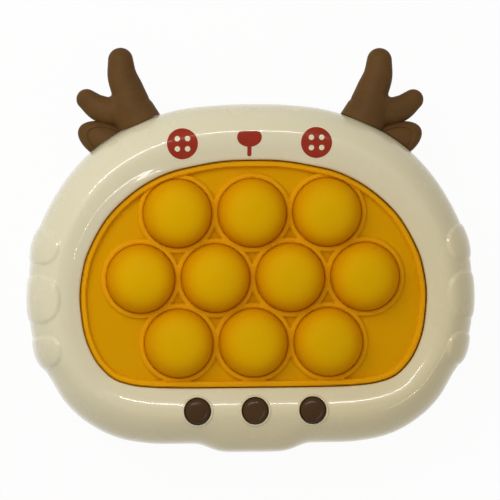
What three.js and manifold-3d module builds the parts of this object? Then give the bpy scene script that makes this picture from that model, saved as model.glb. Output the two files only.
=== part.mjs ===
// Electronic quick push game with an antlered face, lying on its back.
// Lengths are in millimetres. X runs across the face, Y towards the antlers and Z out of the face.
// Two plastic shells close round a game board. A silicone sheet with ten push bubbles fills the window.

import * as THREE from 'three';
import { mergeVertices } from 'three/addons/utils/BufferGeometryUtils.js';
import Module from 'manifold-3d';

const wasm = await Module();
wasm.setup();

// Fits shared by every piece
const gap = 0.3;
const overrun = 1;
const bond = 0.2;

// Bubble field
const bubbleDiameter = 22.3;
const bubbleSpacing = 2.55;
const bubbleRise = 7.8;
const bubbleWall = 1.4;
const bubblePostDiameter = 5.2;
const bubbleTravel = 4.5;
const bubbleFieldDrop = 1.3;
const bubbleRowCounts = [3, 4, 3];
const domePowerShare = 2 / 2.5;
const domeSteps = 4;
const innerDomeSteps = 2;
const bubbleSides = 16;
const pillDiameter = 6;
const pillThickness = 1;

// Window, body outline and shells
const windowSideMargin = 9.28;
const windowEndMargin = 5.13;
const sideRingWidth = 15.9;
const endRingWidth = 18.55;
const rearDepth = 20;
const crownHeight = 17.4;
const lipDrop = 2.6;
const lipThickness = 1.8;
const wall = 2.2;
const seamLipHeight = 1.9;
const seamLipWall = 1.2;
const seamLipRoot = 3.2;
const bowlInset = 14;
const outlineSteps = 42;

// Silicone sheet, light frame and board
const sheetThickness = 2;
const sheetFlange = 1.8;
const beadWidth = 1.6;
const beadRise = 1.2;
const beadSlope = 0.4;
const bubbleRingWidth = 1.75;
const frameHeight = 6.5;
const wellClearance = 0.5;
const boardThickness = 1.6;
const boardInset = 7;
const ledDiameter = 3;
const ledHeight = 2.8;
const ledOffset = 7.5;

// Fleece lobes raised on the shells
const lobeStand = 1.1;
const lobeRise = 0.7;
const lobeSides = 12;
const chinLobeStand = 2.75;
const chinLobeWidth = 37.6;
const chinLobeLift = 1.5;

// Control buttons and their switches
const buttonDiameter = 8.5;
const buttonPitch = 19.15;
const buttonInset = 11;
const buttonDomeRise = 1.6;
const buttonEdgeDrop = 0.5;
const buttonTravel = 0.8;
const buttonFlange = 0.7;
const buttonFlangeThickness = 1.2;
const buttonFlangeDrop = 0.8;
const buttonStemDiameter = 5.4;
const buttonRimWidth = 0.9;
const buttonRimRise = 0.5;
const buttonSides = 14;
const switchWidth = 6;
const switchHeight = 3.5;
const actuatorDiameter = 3.4;
const actuatorHeight = 2;

// Antlers and ears
const antlerRise = 22.65;
const antlerThickness = 9;
const antlerDepthShare = 0.85;
const antlerSides = 10;
const antlerSpineSteps = 5;
const earLength = 23.6;
const earWidth = 12.4;
const earThickness = 9.4;
const earTurn = 25;
const earHollow = 1.3;
const tongueWidth = 9;
const tongueHeight = 5;
const tongueReach = 2.5;
const tongueFlangeWidth = 11.5;
const tongueFlangeHeight = 8;
const tongueFlangeThickness = 1.4;
const tongueFlangeSetback = 0.9;

// Housing screws and bosses
const screwInset = 12;
const screwDiameter = 2.6;
const screwHeadDiameter = 5.2;
const screwHeadHeight = 1.8;
const screwSeatHeight = 12;
const screwGrip = 9;
const bossWall = 1.8;
const screwSides = 10;

// Battery compartment, batteries and contacts
const batteryDiameter = 10.5;
const batteryLength = 43.7;
const batteryNubLength = 0.8;
const batteryNubDiameter = 3.8;
const batteryPitch = 10.9;
const batterySides = 14;
const springLength = 4.2;
const springDiameter = 6.4;
const contactBump = 1.9;
const contactThickness = 0.5;
const contactWidth = 7.6;
const contactTabWidth = 3;
const contactTabRise = 1.4;
const compartmentWall = 1.6;
const compartmentDrop = 13;
const doorThickness = 1.7;
const doorRecess = 0.4;
const doorLedge = 3.3;
const doorLedgeThickness = 1.8;
const doorEarDiameter = 10;
const doorEarReach = 1.2;
const doorEarThickness = 3.6;
const doorTabWidth = 8;
const doorTabOffset = 17;
const doorTabReach = 1.5;
const doorTabThickness = 1.1;
const doorTabRoot = 2.6;
const doorGripWidth = 12;
const doorGripRidge = 0.8;
const doorGripPitch = 2.2;
const doorScrewDiameter = 2.4;
const doorScrewHeadDiameter = 4.8;
const doorScrewHeadHeight = 1.4;
const doorScrewReach = 5.8;
const doorScrewSway = 0.6;

// Speaker and wires
const speakerDiameter = 25;
const speakerFlangeThickness = 1.2;
const speakerConeHeight = 3;
const speakerMagnetDiameter = 13;
const speakerMagnetHeight = 3.4;
const speakerSides = 18;
const holderWall = 1.2;
const holderHeight = 3.6;
const speakerSpacing = 3;
const grilleSlotWidth = 1.5;
const grilleSlotPitch = 3.4;
const grilleSlotCount = 5;
const grilleSpread = 18;
const wireDiameter = 1.3;
const wireSides = 8;
const wireSteps = 8;
const wireRun = 8;

// The body outline and the window outline, paired point by point from the top middle down the right
// side to the bottom middle. Columns: body x and y, window x and y, as shares of their half sizes.
const outlineShares = [
  [0, 1, 0, 1],
  [0.177, 0.993, 0.165, 0.992],
  [0.34, 0.965, 0.329, 0.952],
  [0.489, 0.902, 0.485, 0.893],
  [0.625, 0.813, 0.629, 0.786],
  [0.734, 0.705, 0.745, 0.653],
  [0.829, 0.566, 0.837, 0.508],
  [0.899, 0.424, 0.894, 0.376],
  [0.948, 0.291, 0.932, 0.265],
  [0.978, 0.169, 0.964, 0.148],
  [0.995, 0.053, 0.984, 0.026],
  [1, -0.114, 1, -0.159],
  [0.997, -0.27, 0.993, -0.357],
  [0.982, -0.382, 0.974, -0.529],
  [0.951, -0.515, 0.939, -0.675],
  [0.91, -0.598, 0.894, -0.791],
  [0.842, -0.744, 0.811, -0.91],
  [0.747, -0.863, 0.702, -0.968],
  [0.622, -0.951, 0.572, -0.99],
  [0.476, -0.991, 0.425, -0.998],
  [0.272, -0.998, 0.234, -1],
  [0, -1, 0, -1],
];

// Section of the front ring from the seam to its crest: inset as a share of the crest's inset, height
// as a share of the crown's height. Then from the crest to the lip: way across, and share of the drop.
const crestInsetShare = 0.52;
const crownShares = [
  [0, 0],
  [0.012, 0.26],
  [0.09, 0.49],
  [0.27, 0.7],
  [0.53, 0.87],
  [0.78, 0.965],
  [1, 1],
];
const lipShares = [
  [0.38, 0.16],
  [0.72, 0.56],
  [0.96, 0.9],
  [1, 1.12],
];

// Section of the rear bowl from the flat back to the seam: inset as a share of the bowl's inset, height
// as a share of the rear depth.
const bowlShares = [
  [1, 0],
  [0.7, 0.05],
  [0.42, 0.16],
  [0.21, 0.32],
  [0.07, 0.53],
  [0.012, 0.76],
  [0, 1],
];

// Fleece lobes on the right side: centre and half sizes as shares of half the body width
const lobeShares = [
  [0.951, 0.1345, 0.074, 0.0815],
  [0.963, -0.1045, 0.087, 0.1075],
  [0.942, -0.345, 0.0705, 0.0735],
];

// Spines of the two prongs from root to tip: place as shares of the antler's rise from its root, and
// half width as a share of the antler's thickness. The ear's middle is given in the same way.
const antlerRootShare = 0.0845;
const mainProngShares = [
  [-0.29, -0.1, 0.82],
  [-0.08, 0.31, 0.785],
  [-0.044, 0.54, 0.61],
  [0.029, 0.77, 0.58],
  [0.061, 0.99, 0.475],
];
const sideProngShares = [
  [0.05, 0.298, 0.57],
  [0.22, 0.254, 0.525],
  [0.4, 0.31, 0.475],
  [0.559, 0.426, 0.38],
];
const earPlaceShares = [0.179, -0.22];
const earHollowShare = 0.6;

// Housing screws by their way round the outline, and what the wires and holders take from their pieces
const screwPlaceShares = [0.143, 0.381, 0.619, 0.857];
const speakerTerminalShare = 0.62;
const driverSlotShare = 0.55;
const driverWidthShare = 0.12;
const batteryBevelShare = 0.1;
const springTipShare = 0.7;
const bumpTipShare = 0.6;

// Sizes worked out from the driving dimensions
const bubbleRadius = bubbleDiameter / 2;
const bubblePitch = bubbleDiameter + bubbleSpacing;
const rowPitch = (bubblePitch * Math.sqrt(3)) / 2;
const rowSpan = (bubbleRowCounts.length - 1) * rowPitch;
const longestRow = Math.max(...bubbleRowCounts);
const windowWidth = (longestRow - 1) * bubblePitch + bubbleDiameter + 2 * windowSideMargin;
const windowHeight = rowSpan + bubbleDiameter + 2 * windowEndMargin;
const bodyWidth = windowWidth + 2 * sideRingWidth;
const bodyHeight = windowHeight + 2 * endRingWidth;
const ringWidth = endRingWidth;
const crestInset = ringWidth * crestInsetShare;
const crestHeight = rearDepth + crownHeight;
const lipTop = crestHeight - lipDrop;
const lipUnder = lipTop - lipThickness;
const sheetTop = lipUnder - gap;
const sheetBottom = sheetTop - sheetThickness;
const frameTop = sheetBottom - gap;
const frameBottom = frameTop - frameHeight;
const boardTop = frameBottom - gap;
const boardBottom = boardTop - boardThickness;
const frontBottom = rearDepth + gap / 2;
const rearTop = rearDepth - gap / 2;
const seamLipInset = wall + gap;
const sheetInset = ringWidth - sheetFlange;
const bubbleHole = bubbleRadius + gap;
const pillBottom = boardTop + gap + bubbleTravel;
const postEnd = pillBottom + pillThickness + gap;
const contactRoom = springLength + contactBump + 2 * contactThickness + 4 * gap;
const compartmentLength = batteryLength + batteryNubLength + contactRoom;
const compartmentWidth = 2 * batteryPitch + batteryDiameter + 2 * gap;
const doorLength = compartmentLength + 2 * (doorLedge + compartmentWall) - 2 * gap;
const doorWidth = compartmentWidth + 2 * (doorLedge + compartmentWall) - 2 * gap;
const doorTop = doorRecess + doorThickness;
const ledgeBottom = doorTop + gap;
const ledgeTop = ledgeBottom + doorLedgeThickness;
const batteryHeight = doorTop + gap + batteryDiameter / 2;
const compartmentRoof = batteryHeight + batteryDiameter / 2 + gap;
const roofTop = compartmentRoof + compartmentWall;
const compartmentY = -compartmentDrop;
const doorUpperEdge = compartmentY + doorWidth / 2;
const doorLowerEdge = compartmentY - doorWidth / 2;
const doorEarY = doorLowerEdge - doorEarReach;
const speakerRadius = speakerDiameter / 2;
const speakerY = doorUpperEdge + gap + speakerSpacing + holderWall + gap + speakerRadius;
const buttonY = buttonInset - bodyHeight / 2;

// Closed curve through points of the right half and their mirror images
function closedCurve(rightHalf) {
  const leftHalf = rightHalf.slice(1, -1).reverse().map(([x, y]) => [-x, y]);
  const points = [...rightHalf, ...leftHalf].map(([x, y]) => new THREE.Vector3(x, y, 0));
  return new THREE.CatmullRomCurve3(points, true, 'centripetal');
}

const bodyCurve = closedCurve(outlineShares.map(([x, y]) => [(x * bodyWidth) / 2, (y * bodyHeight) / 2]));
const windowCurve = closedCurve(outlineShares.map(([, , x, y]) => {
  return [(x * windowWidth) / 2, (y * windowHeight) / 2];
}));

// Point at a share of the way round, moved in from the body outline towards the window outline
function outlinePoint(share, inset) {
  return bodyCurve.getPoint(share).lerp(windowCurve.getPoint(share), inset / ringWidth);
}

// Manifold solid of a closed three.js geometry
function solid(geometry) {
  geometry.deleteAttribute('normal');
  geometry.deleteAttribute('uv');
  const merged = mergeVertices(geometry);
  const index = merged.index.array;
  const triangles = [];
  for (let i = 0; i < index.length; i += 3) {
    const [a, b, c] = [index[i], index[i + 1], index[i + 2]];
    if (a !== b && b !== c && c !== a) triangles.push(a, b, c);
  }
  const vertProperties = new Float32Array(merged.attributes.position.array);
  const triVerts = new Uint32Array(triangles);
  return new wasm.Manifold(new wasm.Mesh({ numProp: 3, vertProperties, triVerts }));
}

// Solid swept round the outline through a section of [inset, height] points. A capped section starts
// and ends on flat faces that span the outline, and one that isn't capped closes on itself.
function loft(section, capped) {
  const positions = [];
  const triangles = [];
  for (const [inset, height] of section) {
    for (let step = 0; step < outlineSteps; step += 1) {
      const point = outlinePoint(step / outlineSteps, inset);
      positions.push(point.x, point.y, height);
    }
  }
  const rows = section.length;
  const lastRow = capped ? rows - 1 : rows;
  for (let row = 0; row < lastRow; row += 1) {
    const here = row * outlineSteps;
    const next = ((row + 1) % rows) * outlineSteps;
    for (let step = 0; step < outlineSteps; step += 1) {
      const after = (step + 1) % outlineSteps;
      triangles.push(here + step, next + step, here + after);
      triangles.push(here + after, next + step, next + after);
    }
  }
  if (capped) {
    const middle = rows * outlineSteps;
    const top = (rows - 1) * outlineSteps;
    positions.push(0, 0, section[0][1], 0, 0, section[rows - 1][1]);
    for (let step = 0; step < outlineSteps; step += 1) {
      const after = (step + 1) % outlineSteps;
      triangles.push(middle, step, after);
      triangles.push(middle + 1, top + after, top + step);
    }
  }
  const geometry = new THREE.BufferGeometry();
  geometry.setAttribute('position', new THREE.Float32BufferAttribute(positions, 3));
  geometry.setIndex(triangles);
  return solid(geometry);
}

// Solid turned about Z from a profile of [radius, height] points, listed with the material on its left
function turned(profile, sides) {
  const points = profile.map(([radius, height]) => new THREE.Vector2(radius, height));
  return solid(new THREE.LatheGeometry(points, sides).rotateX(Math.PI / 2));
}

// Upright cylinder or cone between two heights
function column(radius, bottom, top, x, y, sides, topRadius = radius) {
  const geometry = new THREE.CylinderGeometry(topRadius, radius, top - bottom, sides).rotateX(Math.PI / 2);
  return solid(geometry.translate(x, y, (bottom + top) / 2));
}

// Upright block between two heights, centred on a place
function block(length, width, bottom, top, x, y) {
  return solid(new THREE.BoxGeometry(length, width, top - bottom).translate(x, y, (bottom + top) / 2));
}

// Tube of a wire along a curve
function wire(points) {
  const shape = new THREE.Shape();
  shape.absarc(0, 0, wireDiameter / 2, 0, 2 * Math.PI);
  const extrudePath = new THREE.CatmullRomCurve3(points);
  const options = { steps: wireSteps, curveSegments: wireSides / 2, bevelEnabled: false, extrudePath };
  return solid(new THREE.ExtrudeGeometry(shape, options));
}

function join(solids) {
  return solids.reduce((sum, next) => sum.add(next));
}

// A shape of the right side together with its mirror image
function bothSides(shape) {
  return shape.add(shape.mirror([1, 0, 0]));
}

// Section shifted in by a distance along its own normals, on the side of the material
function insetSection(section, distance) {
  return section.map(([inset, height], i) => {
    const before = section[Math.max(i - 1, 0)];
    const after = section[Math.min(i + 1, section.length - 1)];
    const along = new THREE.Vector2(after[0] - before[0], after[1] - before[1]).normalize();
    return [inset + along.y * distance, height - along.x * distance];
  });
}

const crownSection = crownShares.map(([across, up]) => {
  return [across * crestInset, frontBottom + up * (crestHeight - frontBottom)];
});
const slopeSection = lipShares.map(([across, down]) => [
  crestInset + across * (ringWidth - crestInset),
  crestHeight - down * lipDrop,
]);
const frontSection = [...crownSection, ...slopeSection];
const bowlSection = bowlShares.map(([across, up]) => [across * bowlInset, up * rearTop]);

// The front shell as a filled form, with its skin moved out and its face raised
function frontForm(stand, rise) {
  const section = frontSection.map(([inset, height]) => [inset - stand, height + rise]);
  section[0][1] = frontBottom;
  return loft(section, true);
}

// The rear shell as a filled form, with its skin moved out
function rearForm(stand) {
  return loft(bowlSection.map(([inset, height]) => [inset - stand, height]), true);
}

// Space inside each shell up to the middle of its wall, which bosses and lobes are trimmed to
function frontCore() {
  const section = insetSection(crownSection, wall / 2);
  section[0][1] = frontBottom - overrun;
  return loft([...section, [ringWidth, lipUnder + lipThickness / 2]], true);
}

function rearCore() {
  const section = insetSection(bowlSection, wall / 2);
  section[section.length - 1][1] = rearTop + overrun;
  return loft(section, true);
}

const frontInside = frontCore();
const rearInside = rearCore();

// Upright oval column through the whole depth of the body
function ovalColumn(halfWidth, halfHeight, x, y) {
  const oval = new THREE.CylinderGeometry(1, 1, crestHeight + 2 * overrun, lobeSides);
  oval.rotateX(Math.PI / 2).scale(halfWidth, halfHeight, 1).translate(x, y, crestHeight / 2);
  return solid(oval);
}

// Columns that outline the fleece lobes on both sides, and the one under the chin
const sideLobeColumns = bothSides(join(lobeShares.map((shares) => {
  const [x, y, halfWidth, halfHeight] = shares.map((share) => (share * bodyWidth) / 2);
  return ovalColumn(halfWidth, halfHeight, x, y);
})));
const chinLobeY = chinLobeLift - bodyHeight / 2;
const chinLobeColumn = ovalColumn(chinLobeWidth / 2, chinLobeLift + chinLobeStand, 0, chinLobeY);

// Places of the ten bubbles, row by row from the top left
function bubblePlaces() {
  const places = [];
  bubbleRowCounts.forEach((count, row) => {
    const y = rowSpan / 2 - row * rowPitch - bubbleFieldDrop;
    for (let i = 0; i < count; i += 1) {
      places.push([(i - (count - 1) / 2) * bubblePitch, y]);
    }
  });
  return places;
}

const places = bubblePlaces();
const buttonPlaces = [-buttonPitch, 0, buttonPitch].map((x) => [x, buttonY]);
const screwPlaces = screwPlaceShares.map((share) => outlinePoint(share, screwInset));

// Root of the antler on the body outline, and the direction in through the shell wall there
const antlerRoot = outlinePoint(antlerRootShare, 0);
const antlerInward = outlinePoint(antlerRootShare, ringWidth).sub(antlerRoot).normalize();

// Block through the shell wall at the antler's root, between two insets
function rootBlock(width, height, from, to) {
  const geometry = new THREE.BoxGeometry(to - from, width, height);
  geometry.translate((from + to) / 2, 0, 0);
  geometry.rotateZ(Math.atan2(antlerInward.y, antlerInward.x));
  geometry.translate(antlerRoot.x, antlerRoot.y, rearDepth);
  return solid(geometry);
}

const flangeStart = seamLipInset + seamLipWall + tongueFlangeSetback;
const slotWidth = tongueWidth + 2 * gap;
const slotHeight = tongueHeight + 2 * gap;
const antlerSlots = bothSides(rootBlock(slotWidth, slotHeight, -tongueReach, flangeStart));

// Front shell: crowned ring round the window, with lobes, button rims, bosses and the antler slots
function frontShell() {
  const inner = insetSection(crownSection, wall).reverse();
  inner[inner.length - 1][1] = frontBottom;
  const stepInset = sheetInset - 2 * gap;
  const ring = loft([...frontSection, [ringWidth, lipUnder], [stepInset, lipUnder], ...inner], false);
  const sideLobes = frontForm(lobeStand, lobeRise).intersect(sideLobeColumns);
  const chinLobe = frontForm(chinLobeStand + bond, 0).intersect(chinLobeColumn);
  const buttonHole = buttonDiameter / 2 + gap;
  const rims = buttonPlaces.map(([x, y]) => {
    return column(buttonHole + buttonRimWidth, lipUnder, crestHeight + overrun, x, y, buttonSides);
  });
  const rimForm = frontForm(0, buttonRimRise).intersect(join(rims));
  const raised = sideLobes.add(chinLobe).add(rimForm).subtract(frontInside);
  const bosses = screwPlaces.map(({ x, y }) => {
    const radius = screwDiameter / 2 + gap + bossWall;
    return column(radius, frontBottom, crestHeight, x, y, screwSides);
  });
  const shell = ring.add(raised).add(join(bosses).intersect(frontInside));
  const buttonHoles = buttonPlaces.map(([x, y]) => {
    return column(buttonHole, frontBottom, crestHeight + 2 * overrun, x, y, buttonSides);
  });
  const screwTop = rearDepth + screwGrip + gap;
  const pilots = screwPlaces.map(({ x, y }) => {
    return column(screwDiameter / 2 + gap, frontBottom - overrun, screwTop, x, y, screwSides);
  });
  return shell.subtract(join([...buttonHoles, ...pilots, antlerSlots]));
}

// Grille slots behind the speaker, shorter towards the edge of their round field
function grilleSlots() {
  const slots = [];
  for (let i = 0; i < grilleSlotCount; i += 1) {
    const offset = (i - (grilleSlotCount - 1) / 2) * grilleSlotPitch;
    const length = 2 * Math.sqrt((grilleSpread / 2) ** 2 - offset ** 2);
    slots.push(block(length, grilleSlotWidth, -overrun, wall + overrun, 0, speakerY + offset));
  }
  return join(slots);
}

// Bays that the battery door's tabs swing through, over the edge of the floor
function doorTabBays() {
  const edge = doorUpperEdge + gap;
  const width = doorTabWidth + 4 * gap;
  const top = ledgeTop + overrun;
  const reach = doorTabReach + 2 * gap;
  const root = doorLedge + compartmentWall + overrun;
  const bays = [-doorTabOffset, doorTabOffset].map((x) => {
    const inner = block(width, root, -overrun, top, x, edge - root / 2);
    return inner.add(block(width, reach, wall, top, x, edge + reach / 2));
  });
  return join(bays);
}

// Rear shell: bowl with the seam lip, battery compartment, speaker holder and screw bosses
function rearShell() {
  const inner = insetSection(bowlSection, wall).reverse().slice(1);
  inner[inner.length - 1] = [bowlInset, wall];
  const lip = [
    [seamLipInset, rearTop],
    [seamLipInset, rearTop + seamLipHeight],
    [seamLipInset + seamLipWall, rearTop + seamLipHeight],
    [seamLipInset + seamLipWall, rearTop - seamLipRoot],
  ];
  const bowl = loft([...bowlSection, ...lip, ...inner], true);
  const sideLobes = rearForm(lobeStand).intersect(sideLobeColumns);
  const chinLobe = rearForm(chinLobeStand + bond).intersect(chinLobeColumn);
  const lobes = sideLobes.add(chinLobe).subtract(rearInside);
  const outerLength = compartmentLength + 2 * compartmentWall;
  const outerWidth = compartmentWidth + 2 * compartmentWall;
  const rimLength = doorLength + 2 * (gap + compartmentWall);
  const rimWidth = doorWidth + 2 * (gap + compartmentWall);
  const earRadius = doorEarDiameter / 2 + gap;
  const earTop = doorRecess + doorEarThickness + gap;
  const pilotTop = doorRecess + doorScrewReach + overrun;
  const compartment = join([
    block(outerLength, outerWidth, bond, roofTop, 0, compartmentY),
    block(rimLength, rimWidth, bond, ledgeTop, 0, compartmentY),
    column(earRadius + compartmentWall, bond, pilotTop + compartmentWall, 0, doorEarY, bubbleSides),
  ]);
  const seatRadius = speakerRadius + gap;
  const holderTop = wall + holderHeight;
  const holder = column(seatRadius + holderWall, bond, holderTop, 0, speakerY, speakerSides)
    .subtract(column(seatRadius, wall - bond, holderTop + overrun, 0, speakerY, speakerSides));
  const counterboreRadius = screwHeadDiameter / 2 + gap;
  const bosses = screwPlaces.map(({ x, y }) => {
    return column(counterboreRadius + bossWall, bond, rearTop, x, y, screwSides);
  });
  const added = join([compartment, holder, join(bosses)]).intersect(rearInside);
  const slotLength = contactThickness + 2 * gap;
  const tabSlots = contactPlans.filter((plan) => plan.cells.length === 1).map((plan) => {
    const [x, y] = tabPlace(plan);
    const top = roofTop + overrun;
    return block(slotLength, contactTabWidth + 2 * gap, compartmentRoof - overrun, top, x, y);
  });
  const shankRadius = screwDiameter / 2 + gap;
  const wells = screwPlaces.map(({ x, y }) => {
    return column(counterboreRadius, -overrun, screwSeatHeight, x, y, screwSides)
      .add(column(shankRadius, -overrun, rearTop + overrun, x, y, screwSides));
  });
  const cuts = [
    block(compartmentLength, compartmentWidth, -overrun, compartmentRoof, 0, compartmentY),
    block(doorLength + 2 * gap, doorWidth + 2 * gap, -overrun, ledgeBottom, 0, compartmentY),
    column(earRadius, -overrun, earTop, 0, doorEarY, bubbleSides),
    column(doorScrewDiameter / 2 + doorScrewSway, -overrun, pilotTop, 0, doorEarY, screwSides),
    doorTabBays(),
    grilleSlots(),
    antlerSlots,
    ...tabSlots,
    ...wells,
  ];
  return bowl.add(lobes).add(added).subtract(join(cuts));
}

const tipAngles = [36, 69].map(THREE.MathUtils.degToRad);

// Round horn along a spine, with a rounded tip. Rows give place and half width from root to tip.
function horn(rows) {
  const spine = new THREE.CatmullRomCurve3(rows.map(([x, y]) => new THREE.Vector3(x, y, 0)));
  const stations = [];
  for (let i = 0; i <= antlerSpineSteps; i += 1) {
    const share = i / antlerSpineSteps;
    const row = Math.min(Math.floor(share * (rows.length - 1)), rows.length - 2);
    const along = share * (rows.length - 1) - row;
    const halfWidth = THREE.MathUtils.lerp(rows[row][2], rows[row + 1][2], along);
    stations.push({ point: spine.getPoint(share), tangent: spine.getTangent(share), halfWidth });
  }
  const tip = stations[stations.length - 1];
  for (const angle of tipAngles) {
    const point = tip.point.clone().addScaledVector(tip.tangent, tip.halfWidth * Math.sin(angle));
    stations.push({ point, tangent: tip.tangent, halfWidth: tip.halfWidth * Math.cos(angle) });
  }
  const positions = [];
  const triangles = [];
  for (const { point, tangent, halfWidth } of stations) {
    for (let side = 0; side < antlerSides; side += 1) {
      const angle = (side / antlerSides) * 2 * Math.PI;
      const across = halfWidth * Math.cos(angle);
      const up = halfWidth * antlerDepthShare * Math.sin(angle);
      positions.push(point.x - tangent.y * across, point.y + tangent.x * across, rearDepth + up);
    }
  }
  const rings = stations.length;
  for (let ring = 0; ring < rings - 1; ring += 1) {
    for (let side = 0; side < antlerSides; side += 1) {
      const a = ring * antlerSides + side;
      const b = ring * antlerSides + ((side + 1) % antlerSides);
      triangles.push(a, b, a + antlerSides);
      triangles.push(b, b + antlerSides, a + antlerSides);
    }
  }
  const root = rings * antlerSides;
  const end = tip.point.clone().addScaledVector(tip.tangent, tip.halfWidth);
  positions.push(stations[0].point.x, stations[0].point.y, rearDepth, end.x, end.y, rearDepth);
  for (let side = 0; side < antlerSides; side += 1) {
    const after = (side + 1) % antlerSides;
    const last = (rings - 1) * antlerSides;
    triangles.push(root, after, side);
    triangles.push(root + 1, last + side, last + after);
  }
  const geometry = new THREE.BufferGeometry();
  geometry.setAttribute('position', new THREE.Float32BufferAttribute(positions, 3));
  geometry.setIndex(triangles);
  return solid(geometry);
}

// Flattened ball of the ear, scaled by a share of its sizes, at a height over the seam
function earBall(share, height) {
  const ball = new THREE.SphereGeometry(1 / 2, antlerSides, antlerSides / 2);
  ball.rotateX(Math.PI / 2);
  ball.scale(earLength * share, earWidth * share, earThickness * share);
  ball.rotateZ(THREE.MathUtils.degToRad(earTurn));
  const x = antlerRoot.x + earPlaceShares[0] * antlerRise;
  const y = antlerRoot.y + earPlaceShares[1] * antlerRise;
  return solid(ball.translate(x, y, rearDepth + height));
}

// Right antler with its side prong and ear in one moulding, and the tongue that the shells trap
function antler() {
  const place = ([x, y, halfWidth]) => {
    return [antlerRoot.x + x * antlerRise, antlerRoot.y + y * antlerRise, halfWidth * antlerThickness];
  };
  const hollowLift = (earThickness * (1 + earHollowShare)) / 2 - earHollow;
  const ear = earBall(1, 0).subtract(earBall(earHollowShare, hollowLift));
  const prongs = horn(mainProngShares.map(place)).add(horn(sideProngShares.map(place)));
  const envelope = join([
    frontForm(gap, gap),
    rearForm(gap),
    loft([[-gap, rearTop - bond], [-gap, frontBottom + bond]], true),
  ]);
  const outside = prongs.add(ear).subtract(envelope);
  const flangeEnd = flangeStart + tongueFlangeThickness;
  const tongue = rootBlock(tongueWidth, tongueHeight, -tongueReach, flangeEnd);
  const flange = rootBlock(tongueFlangeWidth, tongueFlangeHeight, flangeStart, flangeEnd);
  return outside.add(tongue).add(flange);
}

// Silicone sheet: flanged plate with a bead round the window and a raised ring round each bubble
function bubbleSheet() {
  const plate = loft([[sheetInset, sheetBottom], [sheetInset, sheetTop]], true);
  const beadStart = ringWidth + gap;
  const bead = loft([
    [beadStart, sheetTop - bond],
    [beadStart + beadSlope, sheetTop + beadRise],
    [beadStart + beadWidth - beadSlope, sheetTop + beadRise],
    [beadStart + beadWidth, sheetTop - bond],
  ], false);
  const ringRadius = bubbleHole + bubbleRingWidth;
  const ringBottom = sheetTop - bond;
  const ringTop = sheetTop + beadRise;
  const inside = loft([[beadStart + beadSlope, sheetBottom], [beadStart + beadSlope, crestHeight]], true);
  const rings = places.map(([x, y]) => {
    return column(ringRadius, ringBottom, ringTop, x, y, bubbleSides, ringRadius - beadSlope);
  });
  const holes = places.map(([x, y]) => {
    return column(bubbleHole, sheetBottom - overrun, crestHeight, x, y, bubbleSides);
  });
  return plate.add(bead).add(join(rings).intersect(inside)).subtract(join(holes));
}

// Half of a dome's section from its foot to its top, as [radius, height] points
function domeProfile(radius, foot, rise, steps = domeSteps) {
  const points = [];
  for (let i = 0; i <= steps; i += 1) {
    const angle = (i / steps) * (Math.PI / 2);
    const across = Math.cos(angle) ** domePowerShare;
    const up = Math.sin(angle) ** domePowerShare;
    points.push([radius * across, foot + rise * up]);
  }
  points[steps][0] = 0;
  return points;
}

// One bubble: thin dome with a straight skirt and a post under its top that carries the pill
function bubble() {
  const postRadius = bubblePostDiameter / 2;
  const skin = domeProfile(bubbleRadius - bubbleWall, sheetTop, bubbleRise - bubbleWall, innerDomeSteps);
  const inner = skin.filter(([radius]) => radius > postRadius).reverse();
  const profile = [
    [0, postEnd],
    [postRadius, postEnd],
    [postRadius, sheetTop + bubbleRise - bubbleWall],
    ...inner,
    [bubbleRadius - bubbleWall, sheetBottom],
    [bubbleRadius, sheetBottom],
    ...domeProfile(bubbleRadius, sheetTop, bubbleRise),
  ];
  return turned(profile, bubbleSides);
}

// White frame that carries the sheet, with one open well behind each bubble
function lightFrame() {
  const plate = loft([[sheetInset, frameBottom], [sheetInset, frameTop]], true);
  const wellRadius = bubbleRadius + wellClearance;
  const wells = places.map(([x, y]) => {
    return column(wellRadius, frameBottom - overrun, frameTop + overrun, x, y, bubbleSides);
  });
  return plate.subtract(join(wells));
}

function gameBoard() {
  const board = loft([[boardInset, boardBottom], [boardInset, boardTop]], true);
  const bossRadius = screwDiameter / 2 + gap + bossWall;
  const notches = screwPlaces.map(({ x, y }) => {
    return column(bossRadius + gap, boardBottom - overrun, boardTop + overrun, x, y, screwSides);
  });
  return board.subtract(join(notches));
}

// Small lamp with a round top, standing on the board
function led() {
  const radius = ledDiameter / 2;
  const foot = ledHeight - radius;
  return turned([[0, 0], [radius, 0], ...domeProfile(radius, foot, radius)], screwSides);
}

// Button: domed cap, flange that the shell keeps in, and a stem that sockets over the actuator
function button() {
  const radius = buttonDiameter / 2;
  const flangeTop = lipUnder - gap - buttonFlangeDrop;
  const flangeBottom = flangeTop - buttonFlangeThickness;
  const switchTop = boardTop + gap + switchHeight;
  const stemEnd = switchTop + buttonTravel + gap;
  const socketTop = switchTop + actuatorHeight + buttonTravel + gap;
  const socketRadius = actuatorDiameter / 2 + gap;
  const profile = [
    [0, socketTop],
    [socketRadius, socketTop],
    [socketRadius, stemEnd],
    [buttonStemDiameter / 2, stemEnd],
    [buttonStemDiameter / 2, flangeBottom],
    [radius + buttonFlange, flangeBottom],
    [radius + buttonFlange, flangeTop],
    [radius, flangeTop],
    ...domeProfile(radius, crestHeight - buttonEdgeDrop, buttonDomeRise),
  ];
  return turned(profile, buttonSides);
}

function buttonSwitch() {
  const body = block(switchWidth, switchWidth, 0, switchHeight, 0, 0);
  const actuatorTop = switchHeight + actuatorHeight;
  return body.add(column(actuatorDiameter / 2, switchHeight - bond, actuatorTop, 0, 0, screwSides));
}

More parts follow.
